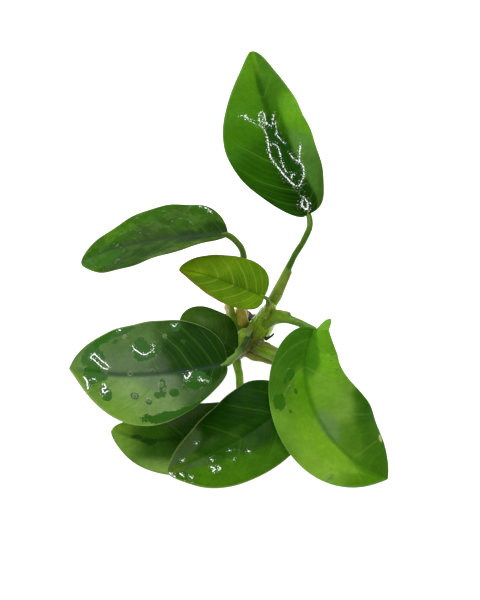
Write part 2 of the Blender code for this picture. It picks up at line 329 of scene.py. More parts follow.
# the leaf's surface. Along the midrib (a cubic bend) share = (1 - cos phi) / 2 of the length; half
# width = sin(phi) x a quartic through five stations; side veins run from length x share^2.3 on the
# midrib to the edge point; each half leaves the midrib at its fold angle and goes on as an arc
def leafSurface(leaf, along, across):
    t = np.linspace(0, 1, 201)[:, None]
    h = np.array(leaf["midrib"], float)
    path = h[0] * (1 - t) ** 3 + h[1] * 3 * t * (1 - t) ** 2 + h[2] * 3 * t ** 2 * (1 - t) + h[3] * t ** 3
    arc = np.concatenate([[0.0], np.cumsum(np.linalg.norm(np.diff(path, axis=0), axis=1))])
    length = arc[-1]
    ahead = unit(np.gradient(path, arc, axis=0))
    side = unit(np.cross(ahead, (0.0, 0.0, 1.0)))
    top = np.cross(side, ahead)
    stations = leaf.get("stations", (0, 0.5, 1))
    roll = np.interp(arc / length, stations, leaf.get("roll", (0,) * len(stations)))
    roll = np.radians(roll)[:, None]
    side, top = side * np.cos(roll) + top * np.sin(roll), top * np.cos(roll) - side * np.sin(roll)
    phi = along * math.pi
    share = (1 - np.cos(phi)) / 2
    out = np.abs(across)
    points, normal = np.zeros((2,) + along.shape + (3,))
    reachMm, widthMm, placeAlong = np.zeros((3,) + along.shape)
    for sign, half in ((-1.0, leaf["left"]), (1.0, leaf["right"])):
        mine = np.where(across < 0, -1.0, 1.0) == sign
        widest = max(half["half"])
        width = np.sin(phi) * np.polyval(np.polyfit([0, 0.25, 0.5, 0.75, 1], half["half"], 4), share)
        edge = length * (share - 2.5 * half["ear"] * np.sin(phi) * (1 - along) ** 3)
        foot = length * share ** 2.3
        x = foot + (edge - foot) * (0.45 * out + 0.55 * out ** 2)
        a = width * out
        q = np.clip(x / length, 0, 1)
        fold = np.radians(np.interp(q, stations, half["fold"]))
        turn = np.radians(np.interp(q, stations, half["curl"]) + 0.001) / widest
        reach = (np.sin(fold + turn * a) - np.sin(fold)) / turn
        rise = (np.cos(fold) - np.cos(fold + turn * a)) / turn
        at = np.clip(x, 0, length)
        base, tt, ss, uu = [np.stack([np.interp(at, arc, v[:, k]) for k in range(3)], -1)
                            for v in (path, ahead, side, top)]
        tt, ss, uu = unit(tt), unit(ss), unit(uu)
        p = base + (x - at)[..., None] * tt + (sign * reach)[..., None] * ss + rise[..., None] * uu
        lean = (fold + turn * a) * soft(a, 0.0, 1.6)
        n = uu * np.cos(lean)[..., None] - ss * (sign * np.sin(lean))[..., None]
        points[mine] = p[mine]
        normal[mine] = n[mine]
        reachMm[mine] = a[mine]
        widthMm[mine] = width[mine]
        placeAlong[mine] = (x / length)[mine]
    return points, normal, placeAlong, reachMm, widthMm, length


# a blend of the tones, each weighed by how near it is: exp(-distance^2 / size^2), small ones more
def blendTones(tones, share, across):
    total = np.zeros(share.shape + (3,))
    weight = np.full(share.shape, 1e-6)
    for at, out, size, colour in tones:
        w = np.exp(-((share - at) ** 2 + (0.45 * (across - out)) ** 2) / size ** 2)
        w = w * max(1, (0.04 / size) ** 3)
        total += w[..., None] * np.array(colour)
        weight += w
    return total / weight[..., None]


# 1 in the middle of a wet patch, 0 at its rim and below 0 outside
def wetField(patches, share, across):
    field = np.full(share.shape, -1.0)
    for at, out, halfLong, halfWide in patches:
        d = np.sqrt(((share - at) / halfLong) ** 2 + ((across - out) / halfWide) ** 2)
        field = np.maximum(field, 1 - d)
    return field


# raised small drops, 1 - (distance / radius)^2 in mm in the leaf laid flat
def dropField(drops, share, across, widthMm, length):
    field = np.zeros(share.shape)
    for at, out, radius in drops:
        d2 = ((share - at) * length) ** 2 + ((across - out) * np.maximum(widthMm, 1)) ** 2
        field = np.maximum(field, 1 - d2 / radius ** 2)
    return field


# 1 on the lines where painted glints go and falling off them, exp(-distance / 1 mm), in the leaf laid flat
def glintLineField(lines, share, across, widthMm, length):
    field = np.zeros(share.shape)
    rightColumn = np.argmax(across[0])

    def flat(s, a):
        left, right = [np.interp(s, share[:, k], widthMm[:, k]) for k in (0, rightColumn)]
        return s * length, a * np.where(a < 0, left, right)

    x, y = flat(share, across)
    for line in lines:
        knots = through(line, 10 * len(line))
        kx, ky = flat(knots[:, 0], knots[:, 1])
        for ax, ay, bx, by in zip(kx[:-1], ky[:-1], kx[1:], ky[1:]):
            span = max((bx - ax) ** 2 + (by - ay) ** 2, 1e-9)
            t = np.clip(((x - ax) * (bx - ax) + (y - ay) * (by - ay)) / span, 0, 1)
            d2 = (x - ax - t * (bx - ax)) ** 2 + (y - ay - t * (by - ay)) ** 2
            field = np.maximum(field, np.exp(-np.sqrt(d2)))
    return field


# sizes in mm of the noises in a leaf's finish
grain = {"broad": 9.0, "fine": 1.6, "blots": 4.5, "outline": 3.2, "frayed": 1.4, "grit": 0.55}


# leaf blade finish. look gives the side veins to a half, the tone and strength (glow) of veins, rib,
# rim, painted sheen and wet film, the roughness when dry, the gloss, how broken the painted glint lines are
# and how thin, how uneven the skin is, and how mottled
def bladeMaterial(name, look):
    mat, w, shader = newMaterial(name, IOR=1.45, Coat_Roughness=0.07, Coat_IOR=1.33,
                                 Emission_Strength=0.5)
    shader.inputs["Specular IOR Level"].default_value = look["gloss"]
    place = w.place()
    across = w.uv().split(0) * 2 - 1
    along = w.uv().split(1)
    tone = w.attribute("tone", 0)
    rib = w.attribute("ribMm", 2)
    rim = w.attribute("rimMm", 2)
    wet = w.attribute("wet", 2)
    mark = w.attribute("mark", 2)
    drop = w.attribute("drop", 2)
    under = w.attribute("under", 2)

    broad = w.clouds(place, grain["broad"], 2.0)
    fine = w.clouds(place, grain["fine"], 4.0, 0.6)
    cells = w.cells(place, "DISTANCE_TO_EDGE", 2400.0)

    # side veins: lines of equal along, gathered near the midrib and fading at the edge
    wander = (broad - 0.5) * 0.16
    count = float(look["veins"])
    main = abs((along * count + wander).fract() - 0.5).near(0.075)
    small = abs((along * count * 4 + wander * 4).fract() - 0.5).near(0.2)
    fade = (1 - abs(across).rise(0.75, 1.0)) * along.rise(0.02, 0.12) * (1 - along.rise(0.84, 0.97))
    veins = main * fade
    hair = small * fade

    shades = tone.times(0.84, 0.86, 0.80), tone.times(1.14, 1.10, 1.12)
    colour = (fine * 0.5 + broad * 0.5).rise(0.30, 0.72).tint(*shades)
    blots = w.clouds(w.stretched(place, (1.0, 1.4, 1.0)), grain["blots"], 3.0, 0.6).rise(0.42, 0.62)
    colour = ((1 - blots) * look["mottle"]).tint(colour, colour.times(0.55, 0.62, 0.45))
    colour = (hair * look["veinGlow"] * 0.3).tint(colour, rgb(*look["veinTone"]))
    colour = (veins * look["veinGlow"]).tint(colour, rgb(*look["veinTone"]))
    band = rib.near(look["ribWide"]) * (1 - along.rise(0.75, 0.98))
    colour = (band * look["ribGlow"]).tint(colour, rgb(*look["ribTone"]))

    # the wet patches have a wobbly outline, with a painted pale highlight along the brim here and there
    wobble = w.clouds(place, grain["outline"], 3.0, 0.6) + w.clouds(place, grain["frayed"], 3.0, 0.6)
    edged = wet + (wobble - 1.0) * 0.8
    film = edged.rise(0.02, 0.10)
    brimHighlight = (edged - 0.06).near(0.09) * fine.rise(0.50, 0.62)
    # painted sheen: a pale grey-green haze laid on the dry skin where the soft light's reflection would be
    paintedSheen = (1 - film) * look["paintedSheen"] * broad.rise(0.25, 0.75)
    colour = paintedSheen.tint(colour, rgb(*look["paintedSheenTone"]))
    colour = (film * look["filmCover"]).tint(colour, rgb(*look["wetTone"]))
    colour = (brimHighlight * 0.30).tint(colour, rgb(0.5, 0.62, 0.42))

    # the drawn lines are strings of painted white highlights, the glints of water beads, with loose ones
    # beside them
    grit = w.clouds(place, grain["grit"], 2.0, 0.6)
    thin, broken = look["thin"], look["broken"]
    paintedGlints = mark.rise(thin, thin + 0.1) * grit.rise(broken, broken + 0.05)
    paintedGlints = paintedGlints.over(mark.rise(0.26, 0.42) * grit.rise(0.62, 0.66) * look["scatter"])
    dome = drop.rise(0.0, 1.0)
    # painted highlight: a pale ring round each drop
    ring = (drop - 0.25).near(0.25) * 0.35
    colour = ring.tint(colour, rgb(0.36, 0.52, 0.14))
    colour = paintedGlints.tint(colour, rgb(0.92, 0.95, 0.90))
    # painted glow: the glint lines also emit white light, though no lamp is there
    plug(paintedGlints.tint(rgb(0, 0, 0), rgb(1, 1, 1)), shader, "Emission Color")

    # pale margin, brown tip, and the paler underside
    colour = (rim.near(look["rimWide"]) * look["rimGlow"]).tint(colour, rgb(*look["rimTone"]))
    tipDark = along.rise(0.975, 0.99) * look["tipDark"]
    colour = tipDark.tint(colour, rgb(0.10, 0.035, 0.008))
    pale = w.node("ShaderNodeMix", {"data_type": "RGBA"}, {0: 0.55, 6: tone, 7: rgb(0.13, 0.24, 0.05)}, 2)
    pale = (veins * 0.4).tint(pale, rgb(0.22, 0.34, 0.08))
    pale = rib.near(1.3).tint(pale, rgb(0.19, 0.31, 0.06))
    colour = under.rise(0.4, 0.6).tint(colour, pale)
    plug(colour, shader, "Base Color")

    rough = look["dry"] + (fine - 0.5) * 0.14 - paintedGlints * 0.15 + under * 0.2
    plug(rough.over(0.06), shader, "Roughness")
    coat = (film * look["filmShine"]).over(paintedGlints).over(drop.rise(0.0, 0.1))
    plug(coat * (1 - under.rise(0.4, 0.6)), shader, "Coat Weight")
    side = under * 2 - 1    # veins stand out below and sink above
    plug(w.bumps((veins * side, 0.10, 0.7), (hair * side, 0.03, 0.5), (broad, 0.5, look["uneven"]),
                 (cells, 0.02, 0.35), (film + brimHighlight * 0.8 + paintedGlints * 2, 0.10, 0.8), (dome, 0.5, 0.9)),
         shader, "Normal")
    return mat


# what a leaf's look is unless its own settings say otherwise
# the sheen keys paint a pale reflected sheen on dry skin; thin, broken and scatter shape the painted glint
# lines
plainLook = {
    "veins": 9, "veinGlow": 0.35, "veinTone": (0.1, 0.24, 0.02), "ribTone": (0.02, 0.07, 0.004),
    "ribWide": 1.4, "ribGlow": 0.6, "rimTone": (0.3, 0.42, 0.12), "rimGlow": 0.55,
    "wetTone": (0.018, 0.1, 0.002), "filmCover": 0.92, "filmShine": 0.2, "dry": 0.42, "gloss": 0.05,
    "paintedSheen": 0.0, "paintedSheenTone": (0.13, 0.2, 0.09), "uneven": 0.25, "tipDark": 0.0,
    "broken": 0.42, "scatter": 1.0, "thin": 0.74, "rimWide": 0.6, "mottle": 0.2,
}

# places on a leaf are (share of its length, share of its half width, left of the midrib below 0).
# a tone goes on with a size and a colour, a wet patch with its two half sizes and a drop with its radius;
# lines are paths of painted glints
topLeaf = {
    "midrib": [(44.6, 44.3, 60), (38.3, 58.4, 70.7), (25.4, 85.3, 76.8), (22.8, 108.4, 74)],
    "left": flank((13, 20, 21.5, 15, 6), (8, 5, 0), (0, -5, -10), ear=0.03),
    "right": flank((20, 16.3, 14.2, 11, 8.5), (45, 42, 5), (0, -5, -10)),
    "ripple": 0.35, "ripples": 5, "grid": (230, 150),
    # the paler greyish tones on the right half are partly painted sheen
    "tones": [(0.96, 0.0, 0.1, (0.11, 0.31, 0.001)), (0.82, -0.5, 0.1, (0.082, 0.26, 0.001)),
        (0.8, 0.6, 0.1, (0.052, 0.185, 0.002)), (0.78, 0.0, 0.08, (0.034, 0.15, 0.001)),
        (0.68, -0.35, 0.05, (0.06, 0.22, 0.001)), (0.66, 0.35, 0.05, (0.055, 0.19, 0.003)),
        (0.58, -0.6, 0.12, (0.056, 0.22, 0.0)), (0.55, 0.75, 0.08, (0.125, 0.36, 0.012)),
        (0.6, 0.2, 0.1, (0.036, 0.15, 0.002)), (0.38, -0.5, 0.12, (0.022, 0.115, 0.0)),
        (0.38, 0.0, 0.1, (0.011, 0.066, 0.0)), (0.36, 0.6, 0.06, (0.11, 0.28, 0.04)),
        (0.22, 0.6, 0.06, (0.085, 0.22, 0.028)), (0.12, 0.0, 0.1, (0.008, 0.05, 0.0)),
        (0.1, -0.6, 0.1, (0.015, 0.085, 0.001)), (0.12, 0.8, 0.05, (0.06, 0.16, 0.014)),
        (0.55, 0.76, 0.014, (0.14, 0.37, 0.01))],
    "wet": [(0.32, 0.05, 0.18, 0.28), (0.5, -0.1, 0.1, 0.16), (0.06, 0.02, 0.04, 0.1)],
    "lines": [[(0.63, -0.76), (0.625, -0.68), (0.59, -0.58), (0.55, -0.38)], [(0.54, -0.35), (0.57, -0.36),
        (0.61, -0.35), (0.62, -0.22), (0.59, -0.18), (0.57, -0.3), (0.54, -0.17)], [(0.59, -0.19),
        (0.55, -0.17), (0.53, -0.06), (0.56, 0.08), (0.58, 0.26)], [(0.54, -0.33), (0.5, -0.27),
        (0.45, -0.27), (0.42, -0.29), (0.37, -0.3), (0.33, -0.26), (0.29, -0.21), (0.22, -0.12),
        (0.175, -0.04), (0.165, 0.06), (0.18, 0.17), (0.21, 0.33), (0.26, 0.41), (0.29, 0.32)],
        [(0.43, -0.24), (0.42, -0.11), (0.38, -0.09), (0.34, -0.11), (0.3, -0.12), (0.26, -0.1)],
        [(0.54, 0.16), (0.5, 0.06), (0.48, 0.0), (0.44, 0.07), (0.41, 0.18)], [(0.35, 0.2), (0.33, 0.21),
        (0.31, 0.25), (0.29, 0.33)], [(0.36, 0.59), (0.33, 0.5), (0.31, 0.44), (0.28, 0.36)], [(0.23, 0.06),
        (0.24, 0.0), (0.22, -0.05)], [(0.1, 0.05), (0.085, 0.1), (0.06, 0.12), (0.03, 0.06), (0.03, 0.0),
        (0.05, -0.06), (0.085, -0.03), (0.1, 0.05)]],
    "look": dict(plainLook, veins=10, veinGlow=0.5, veinTone=(0.085, 0.25, 0.012),
        ribTone=(0.014, 0.075, 0.001), ribWide=1.6, ribGlow=0.5, wetTone=(0.01, 0.075, 0.001), rimGlow=0.3,
        broken=0.46, thin=0.73),
}

upperLeftLeaf = {
    "midrib": [(13.3, 37.1, 57), (-3.5, 34.4, 60.2), (-27.6, 34.3, 57.3), (-45.1, 30.4, 44)],
    "roll": (-28, -24, -20),
    "left": flank((7, 10, 13.5, 15, 9), (18, 16, 5), (-8, -8, -8)),
    "right": flank((27, 18.3, 15.2, 11.5, 9.5), (15, 16, 10), (-8, -8, -8), ear=0.03),
    "ripple": 0.3, "ripples": 4, "grid": (190, 120),
    # the grey-green tones on the right half, along the midrib and at the foot are partly painted sheen
    "tones": [(0.5, 0.3, 0.14, (0.056, 0.12, 0.02)), (0.5, 0.9, 0.1, (0.07, 0.205, 0.006)),
        (0.72, 0.8, 0.1, (0.065, 0.2, 0.004)), (0.3, 0.55, 0.12, (0.06, 0.155, 0.014)),
        (0.28, 0.0, 0.06, (0.024, 0.056, 0.016)), (0.1, 0.8, 0.09, (0.07, 0.18, 0.014)),
        (0.06, 0.2, 0.07, (0.014, 0.06, 0.003)), (0.92, 0.0, 0.1, (0.055, 0.19, 0.001)),
        (0.75, 0.1, 0.12, (0.036, 0.105, 0.006)), (0.82, -0.35, 0.1, (0.048, 0.17, 0.001)),
        (0.6, -0.6, 0.1, (0.032, 0.09, 0.01)), (0.38, -0.9, 0.06, (0.11, 0.19, 0.05)),
        (0.2, -0.8, 0.08, (0.07, 0.14, 0.014))],
    "wet": [(0.5, 0.8, 0.12, 0.16), (0.3, 0.4, 0.08, 0.16), (0.16, 0.8, 0.08, 0.22),
        (0.66, 0.45, 0.1, 0.22), (0.8, -0.3, 0.14, 0.55), (0.36, 0.93, 0.1, 0.1), (0.9, 0.3, 0.06, 0.35)],
    "lines": [[(0.125, 0.9), (0.11, 0.88)], [(0.1, 0.8), (0.085, 0.77), (0.09, 0.74)], [(0.16, 0.93),
        (0.155, 0.92)]],
    "look": dict(plainLook, veins=8, veinTone=(0.075, 0.18, 0.022), ribTone=(0.04, 0.075, 0.035),
        ribGlow=0.8, ribWide=2.0, wetTone=(0.028, 0.115, 0.003), paintedSheen=0.15, paintedSheenTone=(0.075, 0.13, 0.045),
        rimTone=(0.16, 0.24, 0.04), rimGlow=0.4, filmCover=0.5, filmShine=0.05, gloss=0.02, uneven=0.8,
        mottle=0.9),
}

youngLeaf = {
    "midrib": [(27.4, 13.4, 50), (16.3, 17.7, 52.2), (4.1, 22.2, 54.3), (-5.9, 24.1, 52)],
    "left": flank((14, 10.5, 8.8, 6.5, 3), (15, 10, 0), (-10, -10, 0), ear=0.04),
    "right": flank((17, 13.5, 11, 9.2, 7), (10, 5, 0), (-10, -10, 0), ear=0.04),
    "ripple": 0.15, "ripples": 5, "grid": (150, 90),
    # the tip tones are painted lighter to offset the shade on its curled edge
    "tones": [(0.92, 0.0, 0.12, (0.23, 0.43, 0.001)), (0.82, 0.7, 0.1, (0.21, 0.4, 0.001)),
        (0.55, 0.6, 0.14, (0.14, 0.29, 0.001)), (0.5, -0.6, 0.14, (0.1, 0.225, 0.001)),
        (0.2, 0.6, 0.14, (0.095, 0.23, 0.001)), (0.3, 0.0, 0.14, (0.075, 0.18, 0.001)),
        (0.1, -0.3, 0.1, (0.12, 0.27, 0.001))],
    "look": dict(plainLook, veins=11, veinGlow=0.75, veinTone=(0.28, 0.4, 0.03),
        ribTone=(0.045, 0.13, 0.003), ribWide=0.6, ribGlow=0.7, rimTone=(0.3, 0.16, 0.02), rimGlow=0.8,
        dry=0.5, tipDark=0.9, uneven=0.12),
}

smallLeaf = {
    "midrib": [(16.8, -3.7, 37), (11.4, -1.2, 40.3), (2.4, 6, 41.5), (-5.8, 9, 37)],
    "left": flank((8, 8, 8, 8, 6), (0, 0, 0), (-10, -10, -10), ear=0.05),
    "right": flank((6, 10, 9.4, 9.5, 11), (0, 0, 0), (-10, -10, -10)),
    "ripple": 0.15, "ripples": 3, "grid": (130, 80),
    "tones": [(0.9, 0.2, 0.16, (0.062, 0.155, 0.01)), (0.6, 0.5, 0.14, (0.062, 0.155, 0.012)),
        (0.4, 0.3, 0.12, (0.03, 0.09, 0.002)), (0.15, 0.2, 0.14, (0.014, 0.055, 0.0)),
        (0.5, -0.6, 0.14, (0.018, 0.062, 0.001)), (0.66, 0.34, 0.06, (0.11, 0.19, 0.05)),
        (0.5, 0.55, 0.05, (0.08, 0.17, 0.03))],
    "look": dict(plainLook, veins=7, veinGlow=0.25, paintedSheen=0.1, paintedSheenTone=(0.11, 0.18, 0.06), tipDark=1.0,
        rimTone=(0.03, 0.09, 0.004), dry=0.36, uneven=0.35),
}

leftLeaf = {
    "midrib": [(12.6, -12.4, 45), (-4.2, -16.9, 48), (-26.9, -19.6, 45), (-49.2, -11.2, 36)],
    "left": flank((13.5, 17.8, 20.4, 15.5, 3.5), (8, 5, 0), (-15, -15, -5), ear=0.02),
    "right": flank((26, 23.5, 22, 22, 24), (8, 5, 0), (-15, -15, -5), ear=0.06),
    "ripple": 0.3, "ripples": 4, "grid": (230, 150),
    # the pale grey-green tones over the middle and lower half are painted sheen
    "tones": [(0.6, 0.75, 0.12, (0.09, 0.185, 0.042)), (0.62, 0.25, 0.12, (0.12, 0.2, 0.09)),
        (0.9, 0.1, 0.1, (0.115, 0.24, 0.05)), (0.6, -0.45, 0.12, (0.2, 0.34, 0.105)),
        (0.62, -0.88, 0.12, (0.18, 0.36, 0.04)), (0.84, -0.6, 0.12, (0.105, 0.24, 0.02)),
        (0.42, -0.2, 0.08, (0.145, 0.22, 0.12)), (0.42, -0.62, 0.1, (0.19, 0.32, 0.095)),
        (0.1, 0.4, 0.14, (0.006, 0.044, 0.0)), (0.24, 0.55, 0.09, (0.009, 0.056, 0.0)),
        (0.12, -0.15, 0.1, (0.008, 0.05, 0.0)), (0.25, -0.45, 0.07, (0.095, 0.165, 0.06)),
        (0.15, -0.7, 0.1, (0.04, 0.11, 0.014)), (0.4, 0.15, 0.05, (0.07, 0.12, 0.055)),
        (0.28, 0.15, 0.07, (0.014, 0.062, 0.003)), (0.34, 0.82, 0.07, (0.04, 0.11, 0.012))],
    "wet": [(0.88, 0.62, 0.06, 0.42), (0.83, 0.1, 0.06, 0.55), (0.83, -0.35, 0.06, 0.48),
        (0.8, 0.4, 0.03, 0.16), (0.5, 0.42, 0.085, 0.17), (0.54, 0.57, 0.06, 0.18),
        (0.44, 0.48, 0.045, 0.14), (0.71, 0.93, 0.11, 0.1), (0.8, 0.9, 0.08, 0.14),
        (0.72, 0.75, 0.02, 0.05), (0.28, 0.84, 0.035, 0.12), (0.39, -0.3, 0.022, 0.2),
        (0.42, -0.47, 0.022, 0.06), (0.33, -0.41, 0.03, 0.08), (0.55, -0.55, 0.024, 0.07),
        (0.47, -0.6, 0.018, 0.05), (0.72, -0.7, 0.04, 0.16), (0.76, -0.2, 0.04, 0.24),
        (0.19, -0.22, 0.075, 0.2), (0.13, -0.32, 0.025, 0.12), (0.3, -0.88, 0.22, 0.13),
        (0.36, 0.66, 0.012, 0.05), (0.24, 0.53, 0.015, 0.05), (0.27, -0.33, 0.02, 0.05)],
    "lines": [[(0.86, 0.59), (0.875, 0.5), (0.85, 0.42), (0.81, 0.28), (0.77, 0.16), (0.74, 0.13),
        (0.735, 0.19), (0.76, 0.28), (0.79, 0.35), (0.82, 0.46), (0.86, 0.59)], [(0.59, 0.62), (0.58, 0.55),
        (0.56, 0.5), (0.51, 0.4), (0.47, 0.42), (0.44, 0.48), (0.45, 0.57)], [(0.715, 0.955), (0.7, 0.94)],
        [(0.3, 0.88), (0.285, 0.84), (0.27, 0.88)], [(0.82, -0.48), (0.8, -0.46)], [(0.74, -0.5),
        (0.725, -0.6), (0.745, -0.66), (0.73, -0.74), (0.71, -0.64)], [(0.88, -0.6), (0.85, -0.72),
        (0.84, -0.82), (0.83, -0.89)], [(0.23, -0.04), (0.225, -0.09), (0.25, -0.17), (0.26, -0.1)],
        [(0.17, -0.22), (0.16, -0.28)]],
    "look": dict(plainLook, veinTone=(0.11, 0.22, 0.03), ribTone=(0.03, 0.065, 0.035), ribWide=1.8,
        ribGlow=0.8, wetTone=(0.018, 0.115, 0.001), tipDark=0.9, uneven=0.5, broken=0.38, scatter=0.8,
        thin=0.76, rimGlow=0.8, rimWide=0.75),
    "drops": [(0.4, -0.25, 0.9), (0.38, -0.36, 0.7), (0.36, 0.68, 0.8), (0.45, 0.07, 0.7),
        (0.59, 0.03, 0.8), (0.27, -0.32, 0.8), (0.55, -0.55, 0.8), (0.47, -0.57, 0.7), (0.66, 0.81, 0.8)],
}

lowerLeftLeaf = {
    "midrib": [(20.4, -22.4, 20), (1.9, -35, 25.2), (-15.9, -41.4, 19.8), (-33.5, -29.6, 13)],
    "left": flank((14, 15, 15.5, 12.5, 7), (0, -5, -5), (-25, -25, -25), ear=0.05),
    "right": flank((8, 10, 13, 13, 9), (25, 20, 5), (0, 0, 0), ear=0.03),
    "ripple": 0.3, "ripples": 4, "grid": (150, 100),
    # the tones at the tip and on the lower edge are painted lighter to offset the shadow of the left leaf
    # above
    "tones": [(0.96, 0.2, 0.1, (0.21, 0.4, 0.025)), (0.88, -0.4, 0.1, (0.23, 0.46, 0.05)),
        (0.72, 0.2, 0.1, (0.05, 0.17, 0.004)), (0.66, -0.44, 0.1, (0.05, 0.165, 0.008)),
        (0.6, -0.88, 0.07, (0.3, 0.54, 0.1)), (0.3, 0.0, 0.16, (0.02, 0.075, 0.003)),
        (0.4, 0.7, 0.1, (0.07, 0.13, 0.04))],
    "wet": [(0.7, -0.1, 0.06, 0.2), (0.8, 0.1, 0.04, 0.16)], "lines": [],
    "look": dict(plainLook, veins=7, veinGlow=0.3, paintedSheen=0.1, paintedSheenTone=(0.085, 0.15, 0.05),
        rimTone=(0.12, 0.2, 0.03)),
}

bottomLeaf = {
    "midrib": [(39.1, -21.1, 35), (24.1, -43.5, 41.2), (6.6, -42.8, 31.6), (-10.3, -50, 22)],
    "left": flank((20, 18, 16.5, 15, 8), (8, 5, 0), (-15, -15, -15), ear=0.05),
    "right": flank((26, 20.4, 17, 14, 8), (8, 5, 0), (-15, -15, -10), ear=0.03),
    "ripple": 0.35, "ripples": 4, "grid": (200, 130),
    # the greyish blobs are painted reflections of the wet film
    "tones": [(0.25, 0.6, 0.16, (0.008, 0.054, 0.0)), (0.5, 0.6, 0.12, (0.009, 0.058, 0.0)),
        (0.3, -0.2, 0.14, (0.012, 0.065, 0.001)), (0.6, 0.0, 0.1, (0.02, 0.09, 0.001)),
        (0.62, -0.75, 0.12, (0.065, 0.21, 0.003)), (0.28, -0.85, 0.14, (0.055, 0.18, 0.004)),
        (0.81, 0.7, 0.06, (0.09, 0.17, 0.05)), (0.77, -0.2, 0.06, (0.07, 0.16, 0.03)),
        (0.64, 0.38, 0.045, (0.04, 0.11, 0.014)), (0.47, 0.26, 0.045, (0.03, 0.1, 0.006)),
        (0.42, -0.25, 0.045, (0.04, 0.12, 0.01)), (0.86, 0.1, 0.06, (0.06, 0.17, 0.01)),
        (0.97, 0.0, 0.08, (0.12, 0.22, 0.016)), (0.48, -0.72, 0.1, (0.06, 0.2, 0.003))],
    "wet": [(0.91, -0.65, 0.06, 0.22), (0.66, -0.3, 0.06, 0.14), (0.55, -0.3, 0.05, 0.14),
        (0.9, 0.4, 0.03, 0.16)],
    "lines": [[(0.88, 0.38), (0.865, 0.34)], [(0.75, 0.62), (0.74, 0.6)], [(0.69, -0.24), (0.675, -0.27),
        (0.68, -0.31)], [(0.7, -0.5), (0.68, -0.56), (0.7, -0.64)], [(0.66, -0.52), (0.645, -0.58),
        (0.66, -0.62)], [(0.56, -0.165), (0.555, -0.17)], [(0.552, -0.46), (0.548, -0.465)],
        [(0.455, -0.38), (0.45, -0.42)], [(0.92, -0.58), (0.91, -0.68), (0.9, -0.76)], [(0.86, -0.76),
        (0.85, -0.8)], [(0.99, -0.2), (0.98, -0.6), (0.96, -0.85)]],
    "look": dict(plainLook, veins=7, veinGlow=0.26, veinTone=(0.07, 0.19, 0.008), mottle=0.35,
        rimTone=(0.3, 0.38, 0.1), rimGlow=0.7, dry=0.36, tipDark=0.6,
        wetTone=(0.03, 0.125, 0.002), filmCover=0.55, uneven=0.5, ribWide=0.9, ribGlow=0.35),
}

rightLeaf = {
    "midrib": [(47.2, 0.5, 48), (35.5, -23.3, 45.2), (52.6, -48.8, 39.3), (75.7, -53.4, 26)],
    "stations": (0, 0.12, 0.5, 1),
    "left": flank((30, 15.5, 19.5, 22.3, 30), (62, 30, 12, -5), (-10, -20, -30, -20), ear=0.16),
    "right": flank((16.5, 16.3, 17, 15.3, 3), (15, 15, 15, 5), (-25, -25, -25, -10), ear=0.02),
    "ripple": 0.3, "ripples": 3, "grid": (200, 140),
    # the pale tones beside the midrib are partly painted sheen, and some tones are set lighter or darker to
    # offset how light falls on the folded halves
    "tones": [(0.12, 0.55, 0.09, (0.034, 0.155, 0.0)), (0.28, 0.62, 0.09, (0.052, 0.18, 0.004)),
        (0.42, 0.45, 0.08, (0.13, 0.34, 0.012)), (0.48, 0.76, 0.08, (0.175, 0.4, 0.028)),
        (0.5, 0.97, 0.06, (0.125, 0.31, 0.018)), (0.36, 0.19, 0.07, (0.11, 0.34, 0.003)),
        (0.53, 0.46, 0.09, (0.22, 0.5, 0.014)), (0.36, -0.4, 0.09, (0.185, 0.44, 0.026)),
        (0.5, -0.52, 0.08, (0.21, 0.44, 0.045)), (0.62, -0.8, 0.08, (0.036, 0.16, 0.0)),
        (0.5, -0.97, 0.07, (0.038, 0.16, 0.0)), (0.84, -0.62, 0.1, (0.05, 0.185, 0.001)),
        (0.68, -0.36, 0.08, (0.11, 0.29, 0.012)), (0.55, -0.13, 0.055, (0.18, 0.35, 0.085)),
        (0.68, 0.8, 0.1, (0.255, 0.52, 0.036)), (0.68, 0.4, 0.09, (0.215, 0.48, 0.018)),
        (0.85, 0.8, 0.07, (0.09, 0.28, 0.001)), (0.86, 0.2, 0.07, (0.075, 0.25, 0.001)),
        (0.93, -0.3, 0.08, (0.056, 0.19, 0.002)), (0.05, -0.65, 0.08, (0.12, 0.36, 0.005)),
        (0.2, -0.7, 0.1, (0.17, 0.45, 0.01)), (0.31, -0.88, 0.07, (0.2, 0.45, 0.038)),
        (0.15, -0.15, 0.06, (0.05, 0.21, 0.002)), (0.875, -0.92, 0.008, (0.6, 0.68, 0.2))],
    "wet": [(0.24, 0.36, 0.03, 0.11), (0.32, 0.29, 0.016, 0.05), (0.35, 0.72, 0.036, 0.17),
        (0.4, 0.54, 0.01, 0.03), (0.27, 0.5, 0.014, 0.05)],
    "drops": [(0.22, -0.8, 0.9), (0.12, -0.8, 0.6), (0.72, 0.88, 1.2), (0.16, -0.7, 0.5), (0.3, 0.4, 0.7)],
    "look": dict(plainLook, veins=7, veinGlow=0.22, veinTone=(0.22, 0.42, 0.05),
        ribTone=(0.045, 0.18, 0.002), ribWide=1.5, ribGlow=0.55, wetTone=(0.03, 0.15, 0.001),
        rimTone=(0.22, 0.42, 0.08), rimGlow=0.6, paintedSheen=0.05, paintedSheenTone=(0.17, 0.3, 0.08), uneven=0.15),
}

bladeParts = [("top", topLeaf, "leaf"), ("upper_left", upperLeftLeaf, "leaf"),
    ("young", youngLeaf, "young_leaf"), ("small", smallLeaf, "leaf"), ("left", leftLeaf, "leaf"),
    ("lower_left", lowerLeftLeaf, "leaf"), ("bottom", bottomLeaf, "leaf"),
    ("right", rightLeaf, "bright_leaf")]

blade = {
    "thick": 0.6, "groove": 0.28, "grooveWide": 0.9, "rib": 0.95, "ribWide": 1.1, "quilt": 0.16, "sag": 0.22,
    "dimple": 0.07,
}


